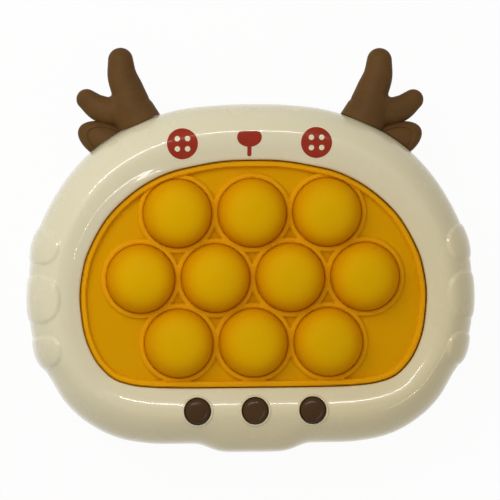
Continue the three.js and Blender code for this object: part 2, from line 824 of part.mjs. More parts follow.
// Screw with a cross slot, standing head down
function screw(diameter, headDiameter, headHeight, length) {
  const shank = column(diameter / 2, headHeight - bond, headHeight + length, 0, 0, screwSides);
  const head = column(headDiameter / 2 - bond, 0, headHeight, 0, 0, screwSides, headDiameter / 2);
  const slotLength = headDiameter * driverSlotShare;
  const slotWidth = headDiameter * driverWidthShare;
  const slots = block(slotLength, slotWidth, -overrun, headHeight / 2, 0, 0)
    .add(block(slotWidth, slotLength, -overrun, headHeight / 2, 0, 0));
  return head.add(shank).subtract(slots);
}

// Battery door: plate with grip ridges, two tabs over the floor's edge and an ear for its screw
function batteryDoor() {
  const tabs = [-doorTabOffset, doorTabOffset].map((x) => {
    const tabBottom = wall + gap;
    const tabTop = tabBottom + doorTabThickness;
    const rootY = doorUpperEdge - doorTabRoot / 2;
    const root = block(doorTabWidth, doorTabRoot, doorTop - bond, tabTop, x, rootY);
    const reach = doorTabReach + gap + doorTabRoot / 2;
    return root.add(block(doorTabWidth, reach, tabBottom, tabTop, x, rootY + reach / 2));
  });
  const ridges = [-1, 0, 1].map((i) => {
    const y = doorLowerEdge + doorGripWidth / 2 + doorGripRidge + i * doorGripPitch;
    return block(doorGripWidth, doorGripRidge, -overrun, doorRecess + doorGripRidge / 2, doorTabOffset, y);
  });
  const plate = join([
    block(doorLength, doorWidth, doorRecess, doorTop, 0, compartmentY),
    column(doorEarDiameter / 2, doorRecess, doorRecess + doorEarThickness, 0, doorEarY, bubbleSides),
    ...tabs,
  ]);
  const headTop = doorRecess + gap + doorScrewHeadHeight + gap;
  const shankRadius = doorScrewDiameter / 2 + gap;
  return plate.subtract(join([
    ...ridges,
    column(doorScrewHeadDiameter / 2 + gap, -overrun, headTop, 0, doorEarY, screwSides),
    column(shankRadius, -overrun, ledgeTop + overrun, 0, doorEarY, screwSides),
  ]));
}

// The three cells lie side by side along X, the outer two with their nub to the right
const cellCount = 3;
const cellFacings = [1, -1, 1];

function cellY(cell) {
  return compartmentY + (cell - (cellCount - 1) / 2) * batteryPitch;
}

// Contacts: each stands at one end wall and serves one cell, or bridges two
const contactPlans = [
  { name: 'contact_negative', side: -1, cells: [0] },
  { name: 'contact_bridge_right', side: 1, cells: [0, 1] },
  { name: 'contact_bridge_left', side: -1, cells: [1, 2] },
  { name: 'contact_positive', side: 1, cells: [2] },
];

function battery() {
  const radius = batteryDiameter / 2;
  const nub = batteryNubDiameter / 2;
  const bevel = radius * batteryBevelShare;
  const half = (batteryLength + batteryNubLength) / 2;
  const shoulder = half - batteryNubLength;
  const profile = [
    [0, -half],
    [radius - bevel, -half],
    [radius, -half + bevel],
    [radius, shoulder - bevel],
    [radius - bevel, shoulder],
    [nub, shoulder],
    [nub, half],
    [0, half],
  ];
  return turned(profile, batterySides).rotate([0, 90, 0]);
}

// Place of the tab of an end contact, where its wire starts
function tabPlace({ side, cells }) {
  return [side * (compartmentLength / 2 - gap - contactThickness / 2), cellY(cells[0])];
}

// Middle of a cell along X: its flat end leaves room for the spring
function cellX(cell) {
  return (cellFacings[cell] * (springLength - contactBump)) / 2;
}

function contact({ side, cells }) {
  const outerX = compartmentLength / 2 - gap;
  const innerX = outerX - contactThickness;
  const middleY = (cellY(cells[0]) + cellY(cells[cells.length - 1])) / 2;
  const span = (cells.length - 1) * batteryPitch + contactWidth;
  const plateX = (side * (outerX + innerX)) / 2;
  const halfHeight = batteryDiameter / 2 - gap;
  const plateTop = batteryHeight + halfHeight;
  const pieces = [block(contactThickness, span, batteryHeight - halfHeight, plateTop, plateX, middleY)];
  for (const cell of cells) {
    const onFlatEnd = cellFacings[cell] !== side;
    const length = (onFlatEnd ? springLength : contactBump) + bond;
    const base = onFlatEnd ? springDiameter / 2 : batteryNubDiameter / 2;
    const tip = base * (onFlatEnd ? springTipShare : bumpTipShare);
    const boss = new THREE.CylinderGeometry(tip, base, length, screwSides).rotateZ((side * Math.PI) / 2);
    boss.translate(side * (innerX + bond - length / 2), cellY(cell), batteryHeight);
    pieces.push(solid(boss));
  }
  if (cells.length === 1) {
    const tabTop = roofTop + contactTabRise;
    pieces.push(block(contactThickness, contactTabWidth, batteryHeight, tabTop, plateX, cellY(cells[0])));
  }
  return join(pieces);
}

// Speaker facing the grille: flanged basket, cone back and magnet
function speaker() {
  const foot = wall + gap;
  const flangeTop = foot + speakerFlangeThickness;
  const coneTop = flangeTop + speakerConeHeight;
  const magnet = speakerMagnetDiameter / 2;
  const profile = [
    [0, foot],
    [speakerRadius, foot],
    [speakerRadius, flangeTop],
    [speakerRadius - speakerFlangeThickness, flangeTop],
    [magnet, coneTop],
    [magnet, coneTop + speakerMagnetHeight],
    [0, coneTop + speakerMagnetHeight],
  ];
  return turned(profile, speakerSides).translate([0, speakerY, 0]);
}

// Wire from a contact's tab up to the underside of the board
function contactWire(plan) {
  const [x, y] = tabPlace(plan);
  const start = roofTop + contactTabRise + gap;
  const end = boardBottom - gap;
  return wire([
    new THREE.Vector3(x, y, start),
    new THREE.Vector3(x, y, start + wireDiameter),
    new THREE.Vector3(x - (plan.side * wireRun) / 2, y, (start + end) / 2 + wireDiameter / 2),
    new THREE.Vector3(x - plan.side * wireRun, y, end - wireDiameter),
    new THREE.Vector3(x - plan.side * wireRun, y, end),
  ]);
}

// Twin lead from the speaker's terminal up to the board
function speakerLead() {
  const x = speakerRadius * speakerTerminalShare;
  const start = wall + gap + speakerFlangeThickness + speakerConeHeight + gap;
  const end = boardBottom - gap;
  return wire([
    new THREE.Vector3(x, speakerY, start),
    new THREE.Vector3(x, speakerY, start + 2 * wireDiameter),
    new THREE.Vector3(x + wireRun / 2, speakerY, (start + end) / 2),
    new THREE.Vector3(x + wireRun, speakerY, end - 2 * wireDiameter),
    new THREE.Vector3(x + wireRun, speakerY, end),
  ]);
}

const group = new THREE.Group();

function finish(color, roughness, metalness = 0) {
  return new THREE.MeshStandardMaterial({ color, roughness, metalness });
}

function geometryOf(shape) {
  const { vertProperties, triVerts } = shape.getMesh();
  const geometry = new THREE.BufferGeometry();
  geometry.setAttribute('position', new THREE.BufferAttribute(vertProperties, 3));
  geometry.setIndex(new THREE.BufferAttribute(triVerts, 1));
  return geometry;
}

function add(name, shape, material, x = 0, y = 0, z = 0) {
  const mesh = new THREE.Mesh(geometryOf(shape), material);
  mesh.name = name;
  mesh.position.set(x, y, z);
  group.add(mesh);
}

const cream = () => finish('#d3cdb1', 0.22);
const brown = () => finish('#5a4325', 0.6);
const yellow = () => finish('#d08e12', 0.45);
const white = () => finish('#f1f0ea', 0.4);
const steel = () => finish('#c9c9c4', 0.3, 1);
const black = () => finish('#222222', 0.6);

add('front_shell', frontShell(), cream());
add('rear_shell', rearShell(), cream());
add('antler_right', antler(), brown());
add('antler_left', antler().mirror([1, 0, 0]), brown());
add('bubble_sheet', bubbleSheet(), yellow());
add('light_frame', lightFrame(), white());
add('game_board', gameBoard(), finish('#2f6b3a', 0.5));

places.forEach(([x, y], i) => {
  add(`bubble_${i + 1}`, bubble(), yellow(), x, y);
  const pill = column(pillDiameter / 2, 0, pillThickness, 0, 0, screwSides);
  add(`carbon_pill_${i + 1}`, pill, black(), x, y, pillBottom);
  add(`led_${i + 1}`, led(), white(), x, y + ledOffset, boardTop + gap);
});

['left', 'middle', 'right'].forEach((side, i) => {
  const [x, y] = buttonPlaces[i];
  add(`button_${side}`, button(), brown(), x, y);
  add(`button_switch_${side}`, buttonSwitch(), black(), x, y, boardTop + gap);
});

screwPlaces.forEach(({ x, y }, i) => {
  const length = rearDepth + screwGrip - screwSeatHeight;
  const shape = screw(screwDiameter, screwHeadDiameter, screwHeadHeight, length);
  add(`housing_screw_${i + 1}`, shape, steel(), x, y, screwSeatHeight - gap - screwHeadHeight);
});

const doorScrewLength = doorScrewReach - gap - doorScrewHeadHeight;
const doorScrew = screw(doorScrewDiameter, doorScrewHeadDiameter, doorScrewHeadHeight, doorScrewLength);
add('battery_door', batteryDoor(), cream());
add('battery_door_screw', doorScrew, steel(), 0, doorEarY, doorRecess + gap);

cellFacings.forEach((facing, cell) => {
  const shape = facing > 0 ? battery() : battery().rotate([0, 180, 0]);
  add(`battery_${cell + 1}`, shape, finish('#3f5f86', 0.35, 0.5), cellX(cell), cellY(cell), batteryHeight);
});
contactPlans.forEach((plan) => add(plan.name, contact(plan), steel()));

add('speaker', speaker(), black());
add('battery_wire_black', contactWire(contactPlans[0]), black());
add('battery_wire_red', contactWire(contactPlans[3]), finish('#b02218', 0.5));
add('speaker_wire', speakerLead(), finish('#c8b03a', 0.5));

// The origin lies at the middle of the flat back
const box = new THREE.Box3().setFromObject(group);
const middle = box.getCenter(new THREE.Vector3());
group.position.set(-middle.x, -middle.y, -box.min.z);

export default group;
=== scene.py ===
"""Electronic quick push game: a cream face with antlers, ten silicone bubbles and three buttons.

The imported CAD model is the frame. Each piece is modelled in its place, in metres.
"""

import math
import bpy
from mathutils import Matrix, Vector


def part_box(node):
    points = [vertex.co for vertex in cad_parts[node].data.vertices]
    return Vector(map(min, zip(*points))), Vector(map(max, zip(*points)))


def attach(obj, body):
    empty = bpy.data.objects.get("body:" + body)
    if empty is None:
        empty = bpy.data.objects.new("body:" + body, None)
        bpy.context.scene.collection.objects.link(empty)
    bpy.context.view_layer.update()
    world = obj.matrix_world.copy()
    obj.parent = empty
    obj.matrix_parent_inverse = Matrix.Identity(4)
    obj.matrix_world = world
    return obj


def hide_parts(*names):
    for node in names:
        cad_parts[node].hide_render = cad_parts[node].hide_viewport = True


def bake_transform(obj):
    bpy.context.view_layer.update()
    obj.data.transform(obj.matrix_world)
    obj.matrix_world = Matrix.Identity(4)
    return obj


bl_info = {
    "name": "Quick Push Game",
    "version": (1, 0, 0),
    "blender": (4, 5, 0),
    "location": "View3D > Sidebar > Push Game",
    "description": "Models and finishes an antlered quick push game with silicone bubbles",
    "category": "Add Mesh",
}

import bmesh
import bpy
import numpy as np
from mathutils import Matrix, Vector
from mathutils.bvhtree import BVHTree

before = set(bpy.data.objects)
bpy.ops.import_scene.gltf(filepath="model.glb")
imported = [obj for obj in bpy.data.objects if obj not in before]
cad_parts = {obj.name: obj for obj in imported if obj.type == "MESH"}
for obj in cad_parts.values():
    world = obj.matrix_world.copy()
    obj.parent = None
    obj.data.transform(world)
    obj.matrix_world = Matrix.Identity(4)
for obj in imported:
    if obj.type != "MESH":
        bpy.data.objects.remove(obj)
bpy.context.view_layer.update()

# Places and levels taken from the CAD solids
FRONT_LOW, FRONT_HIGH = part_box("front_shell")
SHEET_LOW, SHEET_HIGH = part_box("bubble_sheet")
BUBBLE_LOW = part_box("bubble_1")[0]
DOOR_LOW, DOOR_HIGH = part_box("battery_door")
CENTRE_Y = (SHEET_LOW.y + SHEET_HIGH.y) / 2

# Play between pieces that meet, and how far a cutting tool stands past what it cuts
GAP = 0.0003
PAST = 0.001
# Level inside the back wall that the rear shell's fittings start from
INNER_BASE = 0.0002
# Battery door: its plate, and the two tabs that stand on the plate's upper edge
DOOR_THICKNESS = 0.0017
DOOR_HEIGHT = 0.0421
TAB_REACH = 0.0018
TAB_PLACES = (-0.017, 0.017)
# Rays that find the front shell's surface start over the whole game and go down
RAY_START = 0.06
DOWN = Vector((0, 0, -1))

# Body outline and window outline from the top middle down the right side to the bottom middle.
# Columns: body x and y, window x and y, as shares of their half sizes.
OUTLINE = (
    (0, 1, 0, 1),
    (0.177, 0.993, 0.165, 0.992),
    (0.34, 0.965, 0.329, 0.952),
    (0.489, 0.902, 0.485, 0.893),
    (0.625, 0.813, 0.629, 0.786),
    (0.734, 0.705, 0.745, 0.653),
    (0.829, 0.566, 0.837, 0.508),
    (0.899, 0.424, 0.894, 0.376),
    (0.948, 0.291, 0.932, 0.265),
    (0.978, 0.169, 0.964, 0.148),
    (0.995, 0.053, 0.984, 0.026),
    (1, -0.114, 1, -0.159),
    (0.997, -0.27, 0.993, -0.357),
    (0.982, -0.382, 0.974, -0.529),
    (0.951, -0.515, 0.939, -0.675),
    (0.91, -0.598, 0.894, -0.791),
    (0.842, -0.744, 0.811, -0.91),
    (0.747, -0.863, 0.702, -0.968),
    (0.622, -0.951, 0.572, -0.99),
    (0.476, -0.991, 0.425, -0.998),
    (0.272, -0.998, 0.234, -1),
    (0, -1, 0, -1),
)
# Section of the front ring: inset share and height share up to the crest, then down to the lip
CROWN = ((0, 0), (0.012, 0.26), (0.09, 0.49), (0.27, 0.7), (0.53, 0.87), (0.78, 0.965), (1, 1))
SLOPE = ((0.38, 0.16), (0.72, 0.56), (0.93, 0.86), (0.985, 1.0), (1, 1.2))
# Section of the rear bowl from the flat back to the seam
BOWL = ((1, 0), (0.7, 0.05), (0.42, 0.16), (0.21, 0.32), (0.07, 0.53), (0.012, 0.76), (0, 1))
# Fleece lobes of the right side: centre and half sizes as shares of half the body width
LOBES = (
    (0.951, 0.1345, 0.074, 0.0815),
    (0.963, -0.1045, 0.087, 0.1075),
    (0.942, -0.345, 0.0705, 0.0735),
)
# Spans of the outline, in steps of its table, that carry lobes or buttons and get finer corners
FINE_SPANS = ((8, 17), (19, 23), (25, 34))
# Antler spines from the root: place as shares of the rise, half width as a share of the thickness
MAIN_PRONG = (
    (-0.29, -0.1, 0.9),
    (-0.085, 0.31, 0.8),
    (-0.068, 0.425, 0.71),
    (-0.044, 0.54, 0.615),
    (0.041, 0.77, 0.55),
    (0.065, 1.0, 0.47),
)
SIDE_PRONG = (
    (0.05, 0.298, 0.575),
    (0.22, 0.254, 0.53),
    (0.4, 0.31, 0.485),
    (0.561, 0.428, 0.39),
)
EAR_PLACE = (0.205, -0.22)
EAR_HALF = (0.0118, 0.0062, 0.0047)
ANTLER_ROOT_SHARE = 0.0845
# Turn of the pair of antlers on the body, in degrees
PAIR_TURN = -0.6
# Face print: places on the ring, the step between its layers, and half of the nose's outline
FACE_SHIFT = -0.00098
EYE_SPREAD = 0.02225
EYE_DROP = 0.01305
NOSE_DROP = 0.00915
PRINT_STEP = 0.00003
NOSE = (
    (0, 0.02),
    (0.5, 0.03),
    (0.84, -0.04),
    (0.99, -0.3),
    (1, -0.58),
    (0.88, -0.88),
    (0.62, -1.1),
    (0.36, -1.22),
)
# Section of a button's rim: share of its width and lift over the shell
RIM = (
    (0, -0.0016),
    (0, 0.0001),
    (0.08, 0.00033),
    (0.25, 0.00046),
    (0.5, 0.0005),
    (0.75, 0.00042),
    (0.93, 0.0002),
    (1.02, -0.0001),
    (1.0, -0.0009),
)
SCREW_NODES = ("housing_screw_1", "housing_screw_2", "housing_screw_3", "housing_screw_4")
SIDES = ("left", "middle", "right")
BUBBLES = range(1, 11)


def linear(red, green, blue):
    """A colour given as 0 to 255 values of a screen, as Blender's linear colour."""
    shares = (value / 255 for value in (red, green, blue))
    return tuple(
        s / 12.92 if s <= 0.04045 else ((s + 0.055) / 1.055) ** 2.4 for s in shares
    )


def length(name, description, default):
    return bpy.props.FloatProperty(
        name=name,
        description=description,
        default=default,
        min=0,
        unit="LENGTH",
        subtype="DISTANCE",
        precision=5,
    )


def colour(name, description, *values):
    return bpy.props.FloatVectorProperty(
        name=name,
        description=description,
        default=linear(*values),
        size=3,
        min=0,
        max=1,
        subtype="COLOR",
    )


class PushGameSizes(bpy.types.PropertyGroup):
    """Sizes of the game's pieces"""

    body_width: length("Body width", "Width of the body without its lobes", 0.1472)
    body_height: length(
        "Body height",
        "Height of the body from chin to crown",
        2 * (FRONT_HIGH.y - CENTRE_Y),
    )
    window_width: length("Window width", "Width of the window in the ring", 0.1154)
    window_height: length("Window height", "Height of the window in the ring", 0.0756)
    ring_width: length("Ring width", "Width of the cream ring at the top", 0.01855)
    wall: length("Wall", "Thickness of the plastic shells", 0.0022)
    lobe_rise: length("Lobe rise", "Height of the fleece lobes over the face", 0.0007)
    lobe_stand: length("Lobe reach", "Reach of the fleece lobes past the side", 0.0011)
    chin_reach: length("Chin reach", "Reach of the chin past the lower edge", 0.0028)
    chin_width: length("Chin width", "Width of the chin", 0.0392)
    bead_width: length("Bead width", "Width of the bead round the silicone", 0.002)
    ring_rise: length("Ring rise", "Height of the bead and of the bubble rings", 0.0012)
    dome_wall: length("Bubble wall", "Thickness of the silicone bubbles", 0.0014)
    button_width: length("Button width", "Width of a button's dome", 0.0085)
    button_rim: length("Button rim", "Width of the pale rim round a button", 0.0008)
    antler_rise: length("Antler rise", "Height of an antler over its root", 0.02265)
    antler_thickness: length("Antler thickness", "Measure of the prongs' half widths", 0.009)
    eye_width: length("Eye width", "Width of a printed eye", 0.0103)
    nose_width: length("Nose width", "Width of the printed nose", 0.0081)


class PushGameColours(bpy.types.PropertyGroup):
    """Colours of the game's pieces"""

    cream: colour("Cream plastic", "Colour of the two shells", 223, 215, 184)
    brown: colour("Antler brown", "Colour of the antlers and ears", 95, 67, 34)
    button: colour("Button brown", "Colour of the three buttons", 66, 41, 8)
    silicone: colour("Silicone sheet", "Colour of the silicone sheet", 217, 157, 1)
    # Painted highlight: the raised rings and bead are given a lighter colour than the sheet.
    ring: colour("Silicone rings", "Colour of the raised rings and the bead", 231, 164, 12)
    # Painted shade: the bubbles' sides are given a darker, oranger colour than their tops.
    dome_side_shade: colour("Bubble foot", "Colour of the bubbles' sides", 216, 150, 1)
    dome: colour("Bubble top", "Colour of the bubbles' tops", 224, 173, 1)
    print_red: colour("Print red", "Colour of the printed eyes and nose", 150, 40, 18)
    board: colour("Board green", "Colour of the game board", 47, 107, 58)
    jacket: colour("Battery jacket", "Colour of the batteries", 63, 95, 134)
    floor: colour("Floor", "Colour of the floor", 244, 244, 243)


class Wire:
    """A socket of a finish. Sums, differences and products of wires add Math nodes."""

    def __init__(self, finish, socket):
        self.finish = finish
        self.socket = socket

    def math(self, operation, first, second):
        settings = {"operation": operation}
        return self.finish.node("ShaderNodeMath", settings, {0: first, 1: second})

    def __add__(self, other):
        return self.math("ADD", self, other)

    def __sub__(self, other):
        return self.math("SUBTRACT", self, other)

    def __rsub__(self, other):
        return self.math("SUBTRACT", other, self)

    def __mul__(self, other):
        return self.math("MULTIPLY", self, other)

    def ramp(self, low, high, start=0.0, end=1.0):
        """Goes smoothly from start to end while this value goes from low to high."""
        settings = {"interpolation_type": "SMOOTHSTEP"}
        sockets = {"Value": self, "From Min": low, "From Max": high, "To Min": start, "To Max": end}
        return self.finish.node("ShaderNodeMapRange", settings, sockets)


class Finish:
    """A material made of nodes."""

    def __init__(self, name):
        self.material = bpy.data.materials.new(name)
        self.material.use_nodes = True
        self.tree = self.material.node_tree
        self.tree.nodes.clear()
        self.place = self.node("ShaderNodeTexCoord", output="Object")

    def node(self, kind, settings=None, sockets=None, output=0):
        node = self.tree.nodes.new(kind)
        for key, value in (settings or {}).items():
            setattr(node, key, value)
        for key, value in (sockets or {}).items():
            if isinstance(value, Wire):
                self.tree.links.new(value.socket, node.inputs[key])
            else:
                node.inputs[key].default_value = value
        return Wire(self, node.outputs[output])

    def axis(self, name):
        return self.node("ShaderNodeSeparateXYZ", sockets={"Vector": self.place}, output=name)

    def attribute(self, name):
        return self.node("ShaderNodeAttribute", {"attribute_name": name}, output="Fac")

    def noise(self, scale, detail, roughness=0.5, vector=None):
        sockets = {"Scale": scale, "Detail": detail, "Roughness": roughness}
        return self.node("ShaderNodeTexNoise", sockets={"Vector": vector or self.place, **sockets})

    def stretched(self, x, y, z):
        """Object coordinates scaled along each axis."""
        return self.node("ShaderNodeMapping", sockets={"Vector": self.place, "Scale": (x, y, z)})

    def mix(self, factor, first, second):
        colours = {6: opaque(first), 7: opaque(second)}
        return self.node("ShaderNodeMix", {"data_type": "RGBA"}, {0: factor, **colours}, output=2)

    def bump(self, height, depth, strength):
        sockets = {"Strength": strength, "Distance": depth, "Height": height}
        return self.node("ShaderNodeBump", sockets=sockets)

    def surface(self, **values):
        sockets = {key.replace("_", " "): value for key, value in values.items()}
        shader = self.node("ShaderNodeBsdfPrincipled", sockets=sockets)
        return self.output(shader)

    def output(self, shader):
        end = self.tree.nodes.new("ShaderNodeOutputMaterial")
        self.tree.links.new(shader.socket, end.inputs["Surface"])
        return self.material


def opaque(value):
    return value if isinstance(value, Wire) else (*value[:3], 1.0)


def shade(value, share):
    """A colour made darker or lighter by a share."""
    return tuple(min(part * share, 1.0) for part in value)


def deselect():
    if bpy.context.mode != "OBJECT":
        bpy.ops.object.mode_set(mode="OBJECT")
    bpy.ops.object.select_all(action="DESELECT")


def take(piece):
    deselect()
    piece.select_set(True)
    bpy.context.view_layer.objects.active = piece


def edit(piece, whole=False):
    """Opens a piece for editing, with all or none of it selected."""
    take(piece)
    bpy.ops.object.mode_set(mode="EDIT")
    bpy.ops.mesh.select_all(action="SELECT" if whole else "DESELECT")
    return bmesh.from_edit_mesh(piece.data)


def named(name):
    piece = bpy.context.object
    piece.name = piece.data.name = name
    return piece


def settle(piece):
    """Moves the piece's place, turn and scale into its mesh."""
    take(piece)
    bpy.ops.object.transform_apply(location=True, rotation=True, scale=True)
    return piece


def outward(piece):
    """Turns every face of the piece to the outside."""
    edit(piece, whole=True)
    bpy.ops.mesh.normals_make_consistent(inside=False)
    deselect()


def marked(piece, name, values=None):
    """Gives each vertex a value that the piece's finish reads."""
    mark = piece.data.attributes.new(name, "FLOAT", "POINT")
    if values is not None:
        mark.data.foreach_set("value", values)


def room(node):
    """Lowest corner, highest corner and middle of a CAD node."""
    low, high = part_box(node)
    return low, high, (low + high) / 2


def round_turns(corners):
    return np.arange(corners) / corners * math.tau


def extruded(name, rings, caps=()):
    """A circle extruded ring by ring. Caps name the ends, first or last, that are filled."""
    rings = np.asarray(rings, float)
    count = len(rings[0])
    deselect()
    bpy.ops.mesh.primitive_circle_add(vertices=count)
    piece = named(name)
    form = edit(piece, whole=True)
    step = form.verts.layers.int.new("step")
    for number, corner in enumerate(form.verts):
        corner[step] = number
        corner.co = rings[0][number]
    for ring in rings[1:]:
        bpy.ops.mesh.extrude_edges_move()
        form = bmesh.from_edit_mesh(piece.data)
        step = form.verts.layers.int["step"]
        form.verts.ensure_lookup_table()
        for corner in form.verts[-count:]:
            corner.co = ring[corner[step]]
    for cap in caps:
        bpy.ops.mesh.select_all(action="DESELECT")
        form = bmesh.from_edit_mesh(piece.data)
        form.verts.ensure_lookup_table()
        end = form.verts[:count] if cap == "first" else form.verts[-count:]
        for corner in end:
            corner.select_set(True)
        form.select_flush(True)
        bpy.ops.mesh.edge_face_add()
    bpy.ops.mesh.select_all(action="SELECT")
    bpy.ops.mesh.remove_doubles(threshold=1e-6)
    outward(piece)
    piece.data.attributes.remove(piece.data.attributes["step"])
    return piece


def turned(name, profile, corners, centre):
    """A piece turned about an upright line from a profile of radius and height."""
    turns = round_turns(corners)
    x, y = np.cos(turns), np.sin(turns)
    rings = [
        np.column_stack([centre[0] + radius * x, centre[1] + radius * y, np.full(corners, height)])
        for radius, height in profile
    ]
    ends = (("first", profile[0]), ("last", profile[-1]))
    return extruded(name, rings, caps=[end for end, (radius, _) in ends if radius > 0])


def lying(name, profile, corners, centre, caps=()):
    """A piece turned about a line along X from a profile of radius and X."""
    turns = round_turns(corners)
    y, z = np.cos(turns), np.sin(turns)
    rings = [
        np.column_stack([np.full(corners, x), centre.y + radius * y, centre.z + radius * z])
        for radius, x in profile
    ]
    return extruded(name, rings, caps)


def column(name, radius, low, high, centre, corners=64):
    return turned(name, [(radius, low), (radius, high)], corners, centre)


def block(name, low, high, rounding=0.0, corners=4):
    """A block between two corners, with its upright edges rounded."""
    low, high = Vector(low), Vector(high)
    deselect()
    bpy.ops.mesh.primitive_cube_add(size=1, location=(low + high) / 2)
    piece = named(name)
    piece.scale = high - low
    settle(piece)
    if rounding:
        for line in edit(piece).edges:
            along = line.verts[0].co - line.verts[1].co
            line.select_set(abs(along.z) > abs(along.x) + abs(along.y))
        bmesh.update_edit_mesh(piece.data)
        bpy.ops.mesh.bevel(offset=rounding, segments=corners, affect="EDGES")
        deselect()
    return piece


def combine(piece, tool, operation="DIFFERENCE"):
    """Cuts, joins or trims a piece with a tool piece, which is used up."""
    modifier = piece.modifiers.new(operation, "BOOLEAN")
    modifier.operation = operation
    modifier.solver = "EXACT"
    modifier.object = tool
    take(piece)
    bpy.ops.object.modifier_apply(modifier=modifier.name)
    bpy.data.objects.remove(tool)
    return piece


def joined(pieces):
    first, *others = pieces
    for other in others:
        combine(first, other, "UNION")
    return first


def softened(piece, width):
    """Rounds the sharp edges of a finished form."""
    modifier = piece.modifiers.new("Rounding", "BEVEL")
    modifier.width = width
    modifier.segments = 2
    modifier.limit_method = "ANGLE"
    modifier.angle_limit = math.radians(40)
    take(piece)
    bpy.ops.object.modifier_apply(modifier=modifier.name)
    return piece


def copied(piece, name, move=(0, 0, 0)):
    """A copy with its own mesh, moved in the mesh."""
    copy = piece.copy()
    copy.data = piece.data.copy()
    copy.name = copy.data.name = name
    bpy.context.scene.collection.objects.link(copy)
    copy.location = move
    return settle(copy)


def mirrored(piece, name):
    """The mirror image across the middle of the face."""
    copy = copied(piece, name)
    copy.scale.x = -1
    settle(copy)
    outward(copy)
    return copy


def coated(piece, material, slot, *nodes, angle):
    """Gives a piece its finish and hides the CAD nodes that it stands for."""
    take(piece)
    bpy.ops.object.shade_smooth_by_angle(angle=math.radians(angle))
    piece.data.materials.clear()
    piece.data.materials.append(material)
    if nodes:
        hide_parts(*nodes)
    deselect()


def finished(piece, material, body, slot, *nodes, angle=35):
    """Coats a piece and puts it on its body."""
    coated(piece, material, slot, *nodes, angle=angle)
    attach(piece, body)


def through(points, shares, closed=True):
    """Places at shares of the way along a smooth line through points."""
    line = np.asarray(points, float)
    if closed:
        count = len(line)
        place = np.asarray(shares) % 1 * count
    else:
        count = len(line) - 1
        place = np.clip(np.asarray(shares), 0, 1) * count
        line = np.concatenate([[2 * line[0] - line[1]], line, [2 * line[-1] - line[-2]]])
    start = np.minimum(np.floor(place).astype(int), count - 1)
    t = (place - start)[:, None]
    offset = 0 if closed else 1
    a, b, c, d = (line[(start + k + offset) % len(line)] for k in (-1, 0, 1, 2))
    e, f, g = (
        np.linalg.norm(q - p, axis=1)[:, None] ** 0.5 for p, q in ((a, b), (b, c), (c, d))
    )
    leave = ((b - a) / e - (c - a) / (e + f) + (c - b) / f) * f
    arrive = ((c - b) / f - (d - b) / (f + g) + (d - c) / g) * f
    return (
        (2 * t**3 - 3 * t**2 + 1) * b
        + (t**3 - 2 * t**2 + t) * leave
        + (3 * t**2 - 2 * t**3) * c
        + (t**3 - t**2) * arrive
    )


def evenly(points, spacing):
    """Points along a smooth open line through points, about a spacing apart."""
    fine = through(points, np.linspace(0, 1, 400), closed=False)
    run = np.concatenate([[0], np.cumsum(np.linalg.norm(np.diff(fine, axis=0), axis=1))])
    marks = np.linspace(0, run[-1], max(2, round(run[-1] / spacing) + 1))
    return np.stack([np.interp(marks, run, fine[:, k]) for k in range(2)], axis=1)


def both_halves(rows):
    rows = np.asarray(rows, float)
    mirror = rows[-2:0:-1] * (-1, 1)
    return np.concatenate([rows, mirror])


def smooth(value):
    value = np.clip(value, 0, 1)
    return value * value * (3 - 2 * value)


def coordinates(piece):
    """The piece's vertices as rows of x, y and z."""
    places = np.empty(3 * len(piece.data.vertices))
    piece.data.vertices.foreach_get("co", places)
    return places.reshape(-1, 3)


def inward(points, line):
    """How far points lie inside a closed line, negative outside, and the nearest places on it."""
    after = np.roll(line, -1, axis=0)
    turn = np.sign(np.sum(line[:, 0] * after[:, 1] - line[:, 1] * after[:, 0]))
    depth = np.full(len(points), np.inf)
    nearest = np.zeros((len(points), 2))
    for start, end in zip(line, after):
        along = end - start
        share = np.clip((points - start) @ along / (along @ along), 0, 1)
        foot = start + share[:, None] * along
        away = points - foot
        gap = np.linalg.norm(away, axis=1)
        side = turn * (along[0] * away[:, 1] - along[1] * away[:, 0])
        closer = gap < np.abs(depth)
        depth[closer] = np.where(side < 0, -gap, gap)[closer]
        nearest[closer] = foot[closer]
    return depth, nearest


